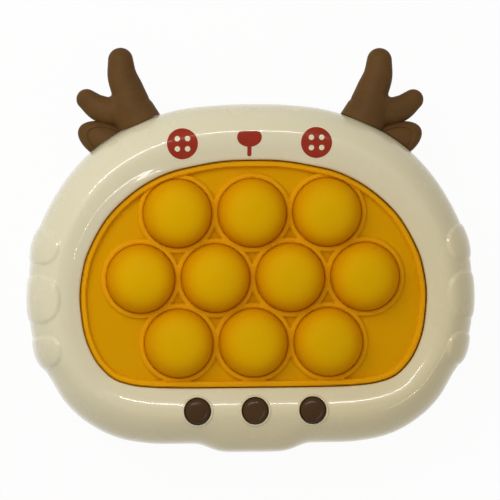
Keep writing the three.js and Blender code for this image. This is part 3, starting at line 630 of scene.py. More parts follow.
class Body:
    """The outline and sections that the shells, the silicone and the antlers share."""

    def __init__(self, sizes):
        self.sizes = sizes
        table = np.asarray(OUTLINE)
        half_body = (sizes.body_width / 2, sizes.body_height / 2)
        half_window = (sizes.window_width / 2, sizes.window_height / 2)
        self.body = both_halves(table[:, :2] * half_body)
        self.window = both_halves(table[:, 2:] * half_window)
        self.crest_inset = sizes.ring_width * 0.52
        self.crest = FRONT_HIGH.z - sizes.lobe_rise
        self.seam = FRONT_LOW.z
        self.rear_top = self.seam - GAP
        self.antler_level = self.seam - GAP / 2
        self.lip_drop = 0.0026
        self.lip_under = self.crest - self.lip_drop - 0.0018
        self.bowl_inset = 0.014

    def outline(self, shares, inset):
        """Points of the outline, moved in towards the window."""
        inset = np.broadcast_to(np.asarray(inset, float), np.shape(shares))[:, None]
        body = through(self.body, shares)
        window = through(self.window, shares)
        points = body + (window - body) * (inset / self.sizes.ring_width)
        return points + (0, CENTRE_Y)

    def steps(self, fine, coarse):
        """Shares of the way round, closer together where lobes and buttons are."""
        count = len(self.body)
        shares = []
        for span in range(count):
            run = np.linalg.norm(self.body[(span + 1) % count] - self.body[span])
            size = fine if any(a <= span < b for a, b in FINE_SPANS) else coarse
            parts = max(1, round(run / size))
            shares.extend((span + part / parts) / count for part in range(parts))
        return np.asarray(shares)

    def lobes(self, points):
        """A round rise over each lobe, 0 outside, and how deep points lie inside its edge."""
        half = self.sizes.body_width / 2
        inside = np.zeros(len(points))
        edge = np.full(len(points), -1.0)
        for x, y, a, b in LOBES:
            across = (np.abs(points[:, 0]) - x * half) / (a * half)
            up = (points[:, 1] - CENTRE_Y - y * half) / (b * half)
            share = np.hypot(across, up)
            inside = np.maximum(inside, np.sqrt(np.clip(1 - share**2, 0, 1)))
            edge = np.maximum(edge, (1 - share) * min(a, b) * half)
        return inside, edge

    def chin(self, points):
        across = np.clip(1 - np.abs(points[:, 0]) / (self.sizes.chin_width / 2), 0, 1)
        low = points[:, 1] < CENTRE_Y
        steepness = 1.35
        return np.where(low, np.sin(smooth(across * steepness) * math.pi / 2), 0)

    def ring(self, shares, inset, height, raised=True):
        """One ring of a shell's skin, with its lobes and chin where they are raised."""
        points = self.outline(shares, inset)
        if not raised:
            return np.column_stack([points, np.full(len(points), height)])
        inside, edge = self.lobes(points)
        chin_fade, lobe_edge = 0.009, 0.0011
        chin = self.chin(points) * (1 - smooth(inset / chin_fade))
        reach = self.sizes.lobe_stand * inside + self.sizes.chin_reach * chin
        lift = (height - self.seam) / (self.crest - self.seam)
        rise = self.sizes.lobe_rise * smooth(edge / lobe_edge + 0.5) * np.clip(lift, 0, 1)
        return np.column_stack([self.outline(shares, inset - reach), height + rise])

    def flat_rings(self, shares, section):
        """Rings of the plain body, without its lobes and chin, along a section."""
        return [self.ring(shares, inset, height, raised=False) for inset, height in section]

    def crown(self):
        rise = self.crest - self.seam
        return np.array([(a * self.crest_inset, self.seam + b * rise) for a, b in CROWN])

    def slope(self):
        run = self.sizes.ring_width - self.crest_inset
        rows = [(self.crest_inset + a * run, self.crest - b * self.lip_drop) for a, b in SLOPE]
        return np.array(rows)

    def bowl(self):
        return np.array([(a * self.bowl_inset, b * self.rear_top) for a, b in BOWL])


def inset_section(section, distance):
    """A section moved in along its own normals."""
    section = np.asarray(section, float)
    along = np.gradient(section, axis=0)
    along /= np.linalg.norm(along, axis=1)[:, None]
    return section + distance * np.column_stack([along[:, 1], -along[:, 0]])


def sizes_and_colours():
    scene = bpy.context.scene
    return scene.push_game_sizes, scene.push_game_colours


def cream_plastic(name="cream_plastic"):
    """Glossy moulded plastic with a faint ripple, and painted shade: warmer and darker towards the
    lower right.
    """
    finish = Finish(name)
    cream = tuple(sizes_and_colours()[1].cream)
    cloud = finish.noise(22, 2)
    tint = finish.mix(cloud.ramp(0.2, 0.8), shade(cream, 0.98), cream)
    # Painted shade: the colour turns warmer and darker towards the lower right of the face.
    low = (finish.axis("Y") - finish.axis("X") * 0.8).ramp(-0.1, 0.045)
    painted_shade_tint = (cream[0] * 0.93, cream[1] * 0.885, cream[2] * 0.77)
    ripple = finish.noise(260, 2)
    return finish.surface(
        Base_Color=finish.mix(low, painted_shade_tint, tint),
        Roughness=finish.noise(90, 4).ramp(0.3, 0.75, 0.2, 0.3),
        Coat_Weight=0.45,
        Coat_Roughness=0.04,
        Specular_IOR_Level=0.3,
        Normal=finish.bump(ripple, 0.00001, 0.12),
    )


def silicone(name, low, high, start=0.0, end=1.0):
    """Satin rubber that goes from a low to a high colour along the piece's own attribute: painted
    shade on low parts and in pockets, a painted highlight on high parts.
    """
    finish = Finish(name)
    rise = finish.attribute("rise")
    # Painted highlight and shade: the attribute lightens raised parts and darkens low parts and
    # pockets.
    height, painted_pocket_shade = rise.ramp(start, end), rise.ramp(-1, 0)
    # Painted shade: pockets take a darker, redder colour.
    foot = finish.mix(painted_pocket_shade, (low[0] * 0.72, low[1] * 0.52, low[2]), low)
    deep = finish.mix(height, foot, shade(high, 0.95))
    full = finish.mix(height, foot, shade(high, 1.02))
    return finish.surface(
        Base_Color=finish.mix(finish.noise(35, 3).ramp(0.3, 0.75), deep, full),
        Roughness=finish.noise(400, 4).ramp(0.3, 0.7, 0.42, 0.55),
        Subsurface_Weight=0.12,
        Subsurface_Radius=(0.004, 0.002, 0.0004),
        Subsurface_Scale=0.5,
        Specular_IOR_Level=0.02,
        Normal=finish.bump(finish.noise(1500, 3), 0.00003, 0.35),
    )


def matte_plastic(name, base, rough=0.5, coat=0.0, grain=900, depth=0.00003, gloss=0.5):
    """Moulded plastic with a fine eroded grain and slightly rubbed high spots."""
    finish = Finish(name)
    cloud = finish.noise(60, 4)
    fine = finish.noise(grain, 4, 0.6)
    tint = finish.mix(cloud.ramp(0.3, 0.7), shade(base, 0.86), shade(base, 1.12))
    return finish.surface(
        Base_Color=finish.mix(fine.ramp(0.45, 0.75, 0, 0.35), tint, shade(base, 1.25)),
        Roughness=fine.ramp(0.3, 0.7, rough - 0.06, rough + 0.08),
        Coat_Weight=coat,
        Coat_Roughness=0.12,
        Specular_IOR_Level=gloss,
        Normal=finish.bump(fine, depth, 0.5),
    )


def metal(name):
    """Plated steel with fine drawn lines and dull patches."""
    finish = Finish(name)
    base = (0.62, 0.61, 0.58)
    lines = finish.noise(300, 2, vector=finish.stretched(1, 14, 14))
    patch = finish.noise(140, 3)
    return finish.surface(
        Base_Color=finish.mix(patch.ramp(0.35, 0.7), shade(base, 0.82), base),
        Metallic=1.0,
        Roughness=lines.ramp(0.3, 0.7, 0.2, 0.4),
        Normal=finish.bump(lines, 0.00001, 0.3),
    )


def board_laminate(base):
    """Green lacquered board with paler copper tracks under the lacquer."""
    finish = Finish("board_laminate")
    grid = finish.node(
        "ShaderNodeTexBrick",
        {"offset": 0.5},
        {"Vector": finish.place, "Scale": 260.0, "Mortar Size": 0.02},
        output="Fac",
    )
    tracks = finish.mix(grid.ramp(0.3, 0.7), base, shade(base, 1.5))
    stain = finish.noise(900, 2).ramp(0.4, 0.6, 0, 0.25)
    return finish.surface(
        Base_Color=finish.mix(stain, tracks, shade(base, 0.6)),
        Roughness=finish.noise(200, 3).ramp(0.3, 0.7, 0.3, 0.45),
    )


class PUSHGAME_OT_shells(bpy.types.Operator):
    """Front shell with its lobes, chin and button holes, and the rear shell with its compartment"""

    bl_idname = "pushgame.shells"
    bl_label = "Shells"

    def execute(self, context):
        sizes, _ = sizes_and_colours()
        body = Body(sizes)
        plastic = cream_plastic()
        front = self.front(body, sizes)
        finished(front, plastic, "case", "case_cream", "front_shell")
        rear = self.rear(body, sizes)
        finished(rear, plastic, "case", "case_cream", "rear_shell")
        return {"FINISHED"}

    def front(self, body, sizes):
        cell, wide_cell, inner_cell = 0.00042, 0.0013, 0.0025
        shares = body.steps(cell, wide_cell)
        fine = evenly(np.concatenate([body.crown(), body.slope()]), cell)
        lower = fine[:, 1] < body.seam + 0.4 * (body.crest - body.seam)
        outer = np.concatenate([fine[lower][::3], fine[~lower]])
        inner = inset_section(evenly(body.crown(), inner_cell), sizes.wall)[::-1]
        inner[-1][1] = body.seam
        lip_width = 0.0024
        under = body.lip_under
        rim = [(sizes.ring_width, under), (sizes.ring_width - lip_width, under)]
        rings = [body.ring(shares, inset, height) for inset, height in outer]
        rings += body.flat_rings(shares, [*rim, *inner])
        front = extruded("front_shell_moulding", [*rings, rings[0]])
        radius = sizes.button_width / 2 + GAP
        for side in SIDES:
            middle = room(f"button_{side}")[2]
            combine(front, column("hole", radius, body.seam + PAST, body.crest + 2 * PAST, middle))
        return front

    def rear(self, body, sizes):
        shares = body.steps(0.0006, 0.0015)
        outer = evenly(body.bowl(), 0.0009)
        lip = sizes.wall + GAP
        lip_wall, lip_rise, lip_root = 0.0012, 0.0019, 0.0032
        top = body.rear_top
        lips = [
            (lip, top),
            (lip, top + lip_rise),
            (lip + lip_wall, top + lip_rise),
            (lip + lip_wall, top - lip_root),
        ]
        inner = inset_section(evenly(body.bowl(), 0.0025), sizes.wall)[::-1][2:]
        inner[-1] = (body.bowl_inset, sizes.wall)
        rings = [body.ring(shares, inset, height) for inset, height in outer]
        rings += body.flat_rings(shares, [*lips, *inner])
        rear = extruded("rear_shell_moulding", rings, caps=("first", "last"))
        combine(rear, self.fittings(body, sizes), "UNION")
        combine(rear, self.openings(body, sizes))
        return rear

    def fittings(self, body, sizes):
        """Compartment, bosses and speaker holder, trimmed to the inside of the wall."""
        wall, ledge = 0.0016, 0.0018
        door_boss, door_boss_rise, screw_boss = 0.0069, 0.0026, 0.0047
        holder_radius, holder_top = 0.014, 0.0058
        seat_radius, seat_low = 0.0128, 0.002
        low, high = self.cavity()
        around = Vector((wall, wall, 0))
        parts = [block("compartment", low - around, high + around + Vector((0, 0, wall)))]
        low, high = self.recess()
        low.z, high.z = INNER_BASE, high.z + ledge
        parts.append(block("frame", low - around, high + around))
        _, high, middle = room("battery_door_screw")
        parts.append(column("boss", door_boss, INNER_BASE, high.z + door_boss_rise, middle, 48))
        for node in SCREW_NODES:
            middle = room(node)[2]
            parts.append(column("boss", screw_boss, INNER_BASE, body.rear_top, middle, 48))
        middle = room("speaker")[2]
        holder = column("holder", holder_radius, INNER_BASE, holder_top, middle, 72)
        seat = column("seat", seat_radius, seat_low, holder_top + PAST, middle, 72)
        parts.append(combine(holder, seat))
        fittings = joined(parts)
        section = inset_section(body.bowl(), sizes.wall / 2)
        section[-1][1] = body.rear_top + PAST
        rings = body.flat_rings(np.arange(96) / 96, section)
        return combine(fittings, extruded("core", rings, caps=("first", "last")), "INTERSECT")

    def recess(self):
        """Corners of the opening that the battery door lies in."""
        upper = DOOR_HIGH.y - TAB_REACH
        low = Vector((DOOR_LOW.x - GAP, upper - DOOR_HEIGHT - GAP, -PAST))
        return low, Vector((DOOR_HIGH.x + GAP, upper + GAP, DOOR_LOW.z + DOOR_THICKNESS + GAP))

    def cavity(self):
        """Corners of the space that the batteries and contacts stand in."""
        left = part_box("contact_negative")[0].x
        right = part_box("contact_bridge_right")[1].x
        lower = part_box("battery_1")[0].y
        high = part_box("battery_3")[1]
        return (
            Vector((left - GAP, lower - GAP, INNER_BASE)),
            Vector((right + GAP, high.y + GAP, high.z + GAP)),
        )

    def openings(self, body, sizes):
        """Everything that is cut out of the rear shell, as one tool."""
        door_low, door_high = self.recess()
        cavity_low, cavity_high = self.cavity()
        cavity_low.z = -PAST
        parts = [
            block("recess", door_low, door_high, 0.0016, 5),
            block("cavity", cavity_low, cavity_high),
        ]
        ear_radius, ear_top, pilot_radius = 0.0053, 0.0043, 0.0018
        _, high, middle = room("battery_door_screw")
        parts.append(column("ear", ear_radius, -PAST, ear_top, middle, 48))
        parts.append(column("pilot", pilot_radius, -PAST, high.z + PAST, middle, 32))
        half, top, edge = 0.0046, 0.0049, door_high.y
        for x in TAB_PLACES:
            for start, end, base in ((0.006, 0, -PAST), (0.001, 0.0021, sizes.wall)):
                low, high = (x - half, edge - start, base), (x + half, edge + end, top)
                parts.append(block("bay", low, high))
        middle = room("speaker")[2]
        slot_half, slot_pitch, slot_top, slot_round = 0.00075, 0.0034, 0.0032, 0.0007
        grille_radius = 0.009
        for step in range(-2, 3):
            offset = step * slot_pitch
            half = math.sqrt(grille_radius**2 - offset**2)
            y = middle.y + offset
            low = (middle.x - half, y - slot_half, -PAST)
            high = (middle.x + half, y + slot_half, slot_top)
            parts.append(block("slot", low, high, slot_round, 5))
        well_radius, well_depth, shank_radius = 0.0029, 0.0021, 0.0016
        for node in SCREW_NODES:
            low, _, middle = room(node)
            parts.append(column("well", well_radius, -PAST, low.z + well_depth, middle, 40))
            parts.append(column("shank", shank_radius, 0, body.rear_top + PAST, middle, 32))
        plate_half, half = 0.00025, Vector((0.00055, 0.0018, 0))
        for node in ("contact_negative", "contact_positive"):
            low, high, middle = room(node)
            x = low.x + plate_half if node == "contact_negative" else high.x - plate_half
            spot = Vector((x, middle.y, cavity_high.z))
            low = spot - half - Vector((0, 0, PAST))
            parts.append(block("tab", low, spot + half + Vector((0, 0, 3 * PAST))))
        return joined(parts)


class PUSHGAME_OT_silicone(bpy.types.Operator):
    """Silicone sheet with its bead and bubble rings, and the ten bubbles"""

    bl_idname = "pushgame.silicone"
    bl_label = "Silicone"

    def execute(self, context):
        sizes, colours = sizes_and_colours()
        # Painted highlight and shade: flats take the sheet colour, rings and bead the lighter ring
        # colour, pockets a darker one.
        rubber = silicone("silicone_sheet", tuple(colours.silicone), tuple(colours.ring))
        foot, top = tuple(colours.dome_side_shade), tuple(colours.dome)
        # Painted shade: each bubble goes from the top colour down to the darker side colour at six
        # tenths of its rise.
        skin = silicone("silicone_bubbles", foot, top, 0.6, 1.03)
        sheet = self.sheet(Body(sizes), sizes)
        finished(sheet, rubber, "case", "silicone_yellow", "bubble_sheet", angle=50)
        self.bubbles(sizes, skin, rubber)
        return {"FINISHED"}

    def sheet(self, body, sizes):
        """A fine grid drawn to the edges of the sheet and its holes, then raised and thickened."""
        cell = 0.0004
        wide = SHEET_HIGH.x - SHEET_LOW.x + PAST
        tall = SHEET_HIGH.y - SHEET_LOW.y + PAST
        top = BUBBLE_LOW.z + 0.002
        deselect()
        bpy.ops.mesh.primitive_grid_add(
            x_subdivisions=round(wide / cell),
            y_subdivisions=round(tall / cell),
            size=1,
            location=(0, CENTRE_Y, top),
        )
        sheet = named("silicone_sheet")
        sheet.scale = (wide, tall, 1)
        settle(sheet)
        inside, drawn = self.drawn(body, sizes, coordinates(sheet)[:, :2], cell)
        form = edit(sheet)
        for corner, held, place in zip(form.verts, inside, drawn):
            corner.co = (*place, top)
            corner.select_set(not held)
        form.select_flush(True)
        bpy.ops.mesh.delete(type="VERT")
        deselect()
        places = coordinates(sheet)
        rise, depth = self.relief(body, sizes, places[:, :2])
        places[:, 2] += rise * sizes.ring_rise
        sheet.data.vertices.foreach_set("co", places.ravel())
        # The tone read by the finish: a painted highlight on the rings and bead and painted shade
        # in the pockets.
        marked(sheet, "rise", depth)
        edit(sheet, whole=True)
        bpy.ops.mesh.extrude_region_move()
        bpy.ops.transform.resize(value=(1, 1, 0), center_override=(0, 0, SHEET_LOW.z))
        outward(sheet)
        return sheet

    def drawn(self, body, sizes, points, cell):
        """Which points the sheet keeps, and the points with those next to an edge moved onto it."""
        hidden, play = 0.0018, 0.00025
        edge = body.outline(np.arange(336) / 336, sizes.ring_width - hidden)
        depth, nearest = inward(points, edge)
        for number in BUBBLES:
            low, high, middle = room(f"bubble_{number}")
            centre = np.array(middle[:2])
            radius = (high.x - low.x) / 2 + play
            away = points - centre
            run = np.linalg.norm(away, axis=1)
            closer = run - radius < depth
            depth[closer] = run[closer] - radius
            heading = away[closer] / np.maximum(run[closer], cell)[:, None]
            nearest[closer] = centre + heading * radius
        beside = np.abs(depth) <= cell / 2
        return (depth > 0) | beside, np.where(beside[:, None], nearest, points)

    def relief(self, body, sizes, points):
        """Height of the bead and rings as a share of their rise, and the tone: that height less a
        painted shade in the pockets near their edges.
        """
        soft, ring_half, ring_place = 0.0006, 0.0009, 0.0011
        shadow_run, bead_height = 0.0016, 1.7
        half = sizes.bead_width / 2
        nearest = inward(points, body.outline(np.arange(600) / 600, sizes.ring_width))[0] - GAP
        bead = smooth((half + soft / 2 - np.abs(nearest - half)) / soft)
        total = np.zeros(len(points))
        # Painted shade: nearness to the bead's and rings' outer edges darkens the flat pockets.
        shade_nearness = np.exp(-np.clip(nearest - 2 * half, 0, 1) / shadow_run)
        for number in BUBBLES:
            low, high, middle = room(f"bubble_{number}")
            ring = (high.x - low.x) / 2 + ring_place
            away = np.hypot(points[:, 0] - middle.x, points[:, 1] - middle.y) - ring
            total += smooth((ring_half + soft / 2 - np.abs(away)) / soft) ** 4
            shade_nearness += np.exp(-np.clip(away - ring_half, 0, 1) / shadow_run)
        rise = np.maximum(np.minimum(total, 1.05) ** 0.25, bead_height * bead)
        painted_pocket_shade = np.clip(shade_nearness / 1.6 - 0.5, 0, 1) * (1 - np.clip(rise, 0, 1))
        return rise, np.minimum(rise, 1) - painted_pocket_shade

    def bubbles(self, sizes, skin, rubber):
        low, high, middle = room("bubble_1")
        foot, top = SHEET_LOW.z + 0.0023, high.z
        wall, play = sizes.dome_wall, 0.0002
        radius = (high.x - low.x) / 2
        outside, inside = radius + play, radius - wall
        profile = [
            (outside, low.z),
            (outside, foot - play),
            *dome(radius, foot, top - foot, 22),
            *reversed(dome(inside, foot, top - foot - wall, 14)),
            (inside, low.z),
            (outside, low.z),
        ]
        first = turned("bubble_skin_1", profile, 96, middle)
        shares = np.clip((coordinates(first)[:, 2] - foot) / (top - foot), 0, 1)
        marked(first, "rise", shares)
        under = top - wall - play
        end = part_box("carbon_pill_1")[1].z + GAP
        wide, narrow = 0.0026, 0.0023
        profile = [(0, end), (narrow, end), (wide, end + GAP), (wide, under), (0, under)]
        post = turned("bubble_post_1", profile, 40, middle)
        marked(post, "rise")
        for number in BUBBLES:
            node, body = f"bubble_{number}", f"push_{number}"
            place = room(node)[2]
            move = Vector((place.x - middle.x, place.y - middle.y, 0))
            cover = first if number == 1 else copied(first, f"bubble_skin_{number}", move)
            inner = post if number == 1 else copied(post, f"bubble_post_{number}", move)
            coated(cover, skin, "silicone_yellow", node, angle=50)
            start, end = (place.x, place.y, foot), (place.x, place.y, top)
            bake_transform(cover)
            finished(inner, rubber, body, "silicone_yellow")


def dome(radius, foot, rise, steps):
    """Half of a dome's section from its foot to its top, a little fuller than round."""
    power = 0.8
    angles = [step / steps * math.pi / 2 for step in range(steps)]
    points = [
        (radius * math.cos(a) ** power, foot + rise * math.sin(a) ** power) for a in angles
    ]
    return [*points, (0, foot + rise)]


class PUSHGAME_OT_antlers(bpy.types.Operator):
    """Two antlers with a side prong, and the ear below each"""

    bl_idname = "pushgame.antlers"
    bl_label = "Antlers"

    def execute(self, context):
        sizes, colours = sizes_and_colours()
        body = Body(sizes)
        material = matte_plastic("antler_plastic", tuple(colours.brown), 0.5, grain=700, gloss=0.08)
        forms = (("horns", self.horns(body, sizes)), ("ear", self.ear(body, sizes)))
        for kind, form in forms:
            pair = (("right", form), ("left", mirrored(form, f"antler_{kind}_left")))
            for side, piece in pair:
                piece.rotation_euler.z = math.radians(PAIR_TURN)
                settle(piece)
                combine(piece, self.envelope(body))
                finished(piece, material, "case", "antler_brown", f"antler_{side}", angle=60)
        return {"FINISHED"}

    def root(self, body):
        return body.outline(np.array([ANTLER_ROOT_SHARE]), 0)[0]

    def envelope(self, body):
        """The closed body grown by the groove round an antler's root, which closes at the seam."""
        upper = evenly(np.concatenate([body.crown(), body.slope()]), 0.0005)
        section = np.concatenate([evenly(body.bowl(), 0.001), upper])
        away = np.abs(section[:, 1] - body.antler_level)
        groove = 0.0002 * smooth(away / 0.0012) + 0.00003
        grown = inset_section(section, -groove[:, None])
        rings = body.flat_rings(np.arange(252) / 252, grown)
        return extruded("envelope", rings, caps=("first", "last"))

    def horn(self, name, rows, body, sizes):
        """A prong along its spine, a little flattened, with a round end."""
        root, level = self.root(body), body.antler_level
        rise, thick, flat = sizes.antler_rise, sizes.antler_thickness, 0.85
        places = [(root[0] + x * rise, root[1] + y * rise) for x, y, _ in rows]
        marks = np.linspace(0, 1, 34)
        line = through(places, marks, closed=False)
        shares = np.linspace(0, 1, len(rows))
        widths = np.interp(marks, shares, [w * thick for _, _, w in rows])
        tangent = np.gradient(line, axis=0)
        tangent /= np.linalg.norm(tangent, axis=1)[:, None]
        stations = list(zip(line, tangent, widths))
        tip, heading, width = stations[-1]
        for angle in np.radians((15, 30, 45, 58, 70, 80)):
            place = tip + heading * width * math.sin(angle)
            stations.append((place, heading, width * math.cos(angle)))
        stations.append((tip + heading * width, heading, 0))
        turns = round_turns(40)
        rings = []
        for point, heading, width in stations:
            across = width * np.cos(turns)
            x, y = point[0] - heading[1] * across, point[1] + heading[0] * across
            rings.append(np.column_stack([x, y, level + width * flat * np.sin(turns)]))
        return extruded(name, rings, caps=("first",))

    def horns(self, body, sizes):
        main = self.horn("antler_horns_right", MAIN_PRONG, body, sizes)
        combine(main, self.horn("side", SIDE_PRONG, body, sizes), "UNION")
        self.fuse(main, 0.0004, 6)
        return main

    def fuse(self, piece, voxel, passes):
        """Melts overlapping forms into one skin with a soft fillet between them."""
        remesh = piece.modifiers.new("Skin", "REMESH")
        remesh.mode = "VOXEL"
        remesh.voxel_size = voxel
        relax = piece.modifiers.new("Relax", "SMOOTH")
        relax.factor = 0.5
        relax.iterations = passes
        take(piece)
        bpy.ops.object.modifier_apply(modifier=remesh.name)
        bpy.ops.object.modifier_apply(modifier=relax.name)

    def ear(self, body, sizes):
        """A rounded leaf with a sunk inner part, deepest near its edge."""
        root = self.root(body)
        x, y = (root[k] + EAR_PLACE[k] * sizes.antler_rise for k in range(2))
        deselect()
        bpy.ops.mesh.primitive_uv_sphere_add(segments=96, ring_count=150, radius=1)
        ear = named("antler_ear_right")
        for vertex in ear.data.vertices:
            share = math.hypot(vertex.co.x, vertex.co.y)
            if vertex.co.z > 0:
                sunk = float(smooth((0.77 - share) / 0.08))
                vertex.co.z -= sunk * (0.2 - 0.1 * (1 - share))
        ear.scale = EAR_HALF
        ear.rotation_euler.z = math.radians(25)
        ear.location = (x, y, body.antler_level)
        return settle(ear)


class PUSHGAME_OT_face_print(bpy.types.Operator):
    """Printed eyes and nose, laid on the front shell's surface"""

    bl_idname = "pushgame.face_print"
    bl_label = "Face print"

    def execute(self, context):
        sizes, colours = sizes_and_colours()
        shell = bpy.data.objects["front_shell_moulding"]
        tree = BVHTree.FromObject(shell, context.evaluated_depsgraph_get())
        red = self.ink("print_red", tuple(colours.print_red))
        pale = self.ink("print_pale", shade(colours.cream, 1.04))
        turns = round_turns(72)
        disc = np.column_stack([np.cos(turns), np.sin(turns)])
        radius, halo, dot_radius, dot_place = sizes.eye_width / 2, 0.0003, 0.0009, 0.0017

        def printed(name, line, ink, layer, rings=10):
            piece = self.laid(tree, name, line, layer * PRINT_STEP, rings)
            finished(piece, ink, "case", "case_cream")

        for side, sign in (("left", -1), ("right", 1)):
            eye = np.array((FACE_SHIFT + sign * EYE_SPREAD, FRONT_HIGH.y - EYE_DROP))
            printed(f"eye_halo_{side}", disc * (radius + halo) + eye, pale, 1)
            printed(f"eye_print_{side}", disc * radius + eye, red, 2)
            corners = ((-1, -1), (1, -1), (-1, 1), (1, 1))
            for number, corner in enumerate(corners, 1):
                line = disc[::3] * dot_radius + eye + np.array(corner) * dot_place
                printed(f"eye_dot_{side}_{number}", line, pale, 3, 4)
        printed("nose_print", self.nose(sizes) + (FACE_SHIFT, 0), red, 2, 0)
        return {"FINISHED"}

    def nose(self, sizes):
        """Outline of a rounded nose with a short stem under it."""
        half = sizes.nose_width / 2
        top, stem = FRONT_HIGH.y - NOSE_DROP, 0.0007
        places = [(x * half, top + y * half) for x, y in NOSE]
        right = through(places, np.linspace(0, 1, 30), closed=False)
        neck = top - 1.25 * half
        foot = top - 0.0083 + stem
        sides = [(stem, y) for y in np.linspace(neck, foot, 8)[:-1]]
        quarter = np.linspace(0, math.pi / 2, 6)
        arc = [(stem * math.cos(a), foot - stem * math.sin(a)) for a in quarter]
        line = [*right.tolist(), *sides, *arc]
        other = [(-x, y) for x, y in reversed(line[1:-1])]
        return np.array([*line, *other])[::-1]

    def laid(self, tree, name, line, lift, rings):
        """A thin print on the shell: an outline filled with rings, or with triangles for none."""
        middle = line.mean(axis=0)
        marks = [1 - step / rings for step in range(rings)] + [0.001] if rings else [1]
        flats = [middle + (line - middle) * mark for mark in marks]
        flats = [np.column_stack([flat, np.zeros(len(line))]) for flat in flats]
        piece = extruded(name, flats, caps=("last",))
        if not rings:
            edit(piece, whole=True)
            bpy.ops.mesh.quads_convert_to_tris()
            for _ in range(2):
                bpy.ops.mesh.subdivide(number_cuts=1)
            deselect()
        for vertex in piece.data.vertices:
            hit = tree.ray_cast(Vector((vertex.co.x, vertex.co.y, RAY_START)), DOWN)
            if hit[0] is None:
                raise RuntimeError(f"{name} reaches past the shell")
            vertex.co.z = hit[0].z + lift
        form = edit(piece, whole=True)
        bpy.ops.mesh.normals_make_consistent(inside=False)
        if sum(face.normal.z for face in form.faces) < 0:
            bpy.ops.mesh.flip_normals()
        solidify = piece.modifiers.new("Thickness", "SOLIDIFY")
        solidify.thickness = 0.00012
        solidify.offset = -1
        take(piece)
        bpy.ops.object.modifier_apply(modifier=solidify.name)
        return piece

    def ink(self, name, base):
        finish = Finish(name)
        cloud = finish.noise(300, 3)
        return finish.surface(
            Base_Color=finish.mix(cloud.ramp(0.3, 0.7), shade(base, 0.93), shade(base, 1.05)),
            Roughness=finish.noise(500, 3).ramp(0.3, 0.7, 0.28, 0.4),
            Coat_Weight=0.12,
            Coat_Roughness=0.06,
            Specular_IOR_Level=0.1,
        )


class PUSHGAME_OT_buttons(bpy.types.Operator):
    """Three domed buttons and the rim moulded round each"""

    bl_idname = "pushgame.buttons"
    bl_label = "Buttons"

    def execute(self, context):
        sizes, colours = sizes_and_colours()
        shell = bpy.data.objects["front_shell_moulding"]
        tree = BVHTree.FromObject(shell, context.evaluated_depsgraph_get())
        brown = tuple(colours.button)
        material = matte_plastic("button_plastic", brown, 0.3, 0.2, 500, 0.00001, 0.06)
        rim_material = cream_plastic("cream_plastic_rims")
        first = self.cap(sizes)
        start = room("button_left")[2]
        for side in SIDES:
            middle = room(f"button_{side}")[2]
            move = Vector((middle.x - start.x, middle.y - start.y, 0))
            cap = first if side == "left" else copied(first, f"button_cap_{side}", move)
            finished(cap, material, f"{side}_button", "button_brown", f"button_{side}")
            rim = self.rim(tree, f"button_rim_{side}", middle, sizes)
            finished(rim, rim_material, "case", "case_cream", angle=60)
        return {"FINISHED"}

    def cap(self, sizes):
        """A domed cap with a flange under the shell and a hollow stem."""
        low, high, middle = room("button_left")
        radius, rise = sizes.button_width / 2, 0.0016
        flange = radius + 0.0007
        flange_low, flange_high = low.z + 0.0022, low.z + 0.0034
        stem, socket, socket_top = 0.0027, 0.002, low.z + 0.0023
        profile = [
            (0, socket_top),
            (socket, socket_top),
            (socket, low.z),
            (stem, low.z),
            (stem, flange_low),
            (flange, flange_low),
            (flange, flange_high),
            (radius, flange_high),
            *dome(radius, high.z - rise, rise, 16),
        ]
        return turned("button_cap_left", profile, 72, middle)

    def rim(self, tree, name, middle, sizes):
        """A low rounded ring that follows the shell's surface round a button."""
        inner = sizes.button_width / 2 + 0.00025
        width = sizes.button_rim
        rings = []
        for share, lift in RIM:
            radius, reach = inner + share * width, inner + max(share, 0.35) * width
            ring = []
            for turn in round_turns(96):
                x, y = math.cos(turn), math.sin(turn)
                spot = Vector((middle.x + reach * x, middle.y + reach * y, RAY_START))
                level = tree.ray_cast(spot, DOWN)[0].z
                ring.append((middle.x + radius * x, middle.y + radius * y, level + lift))
            rings.append(ring)
        return extruded(name, [*rings, rings[0]])


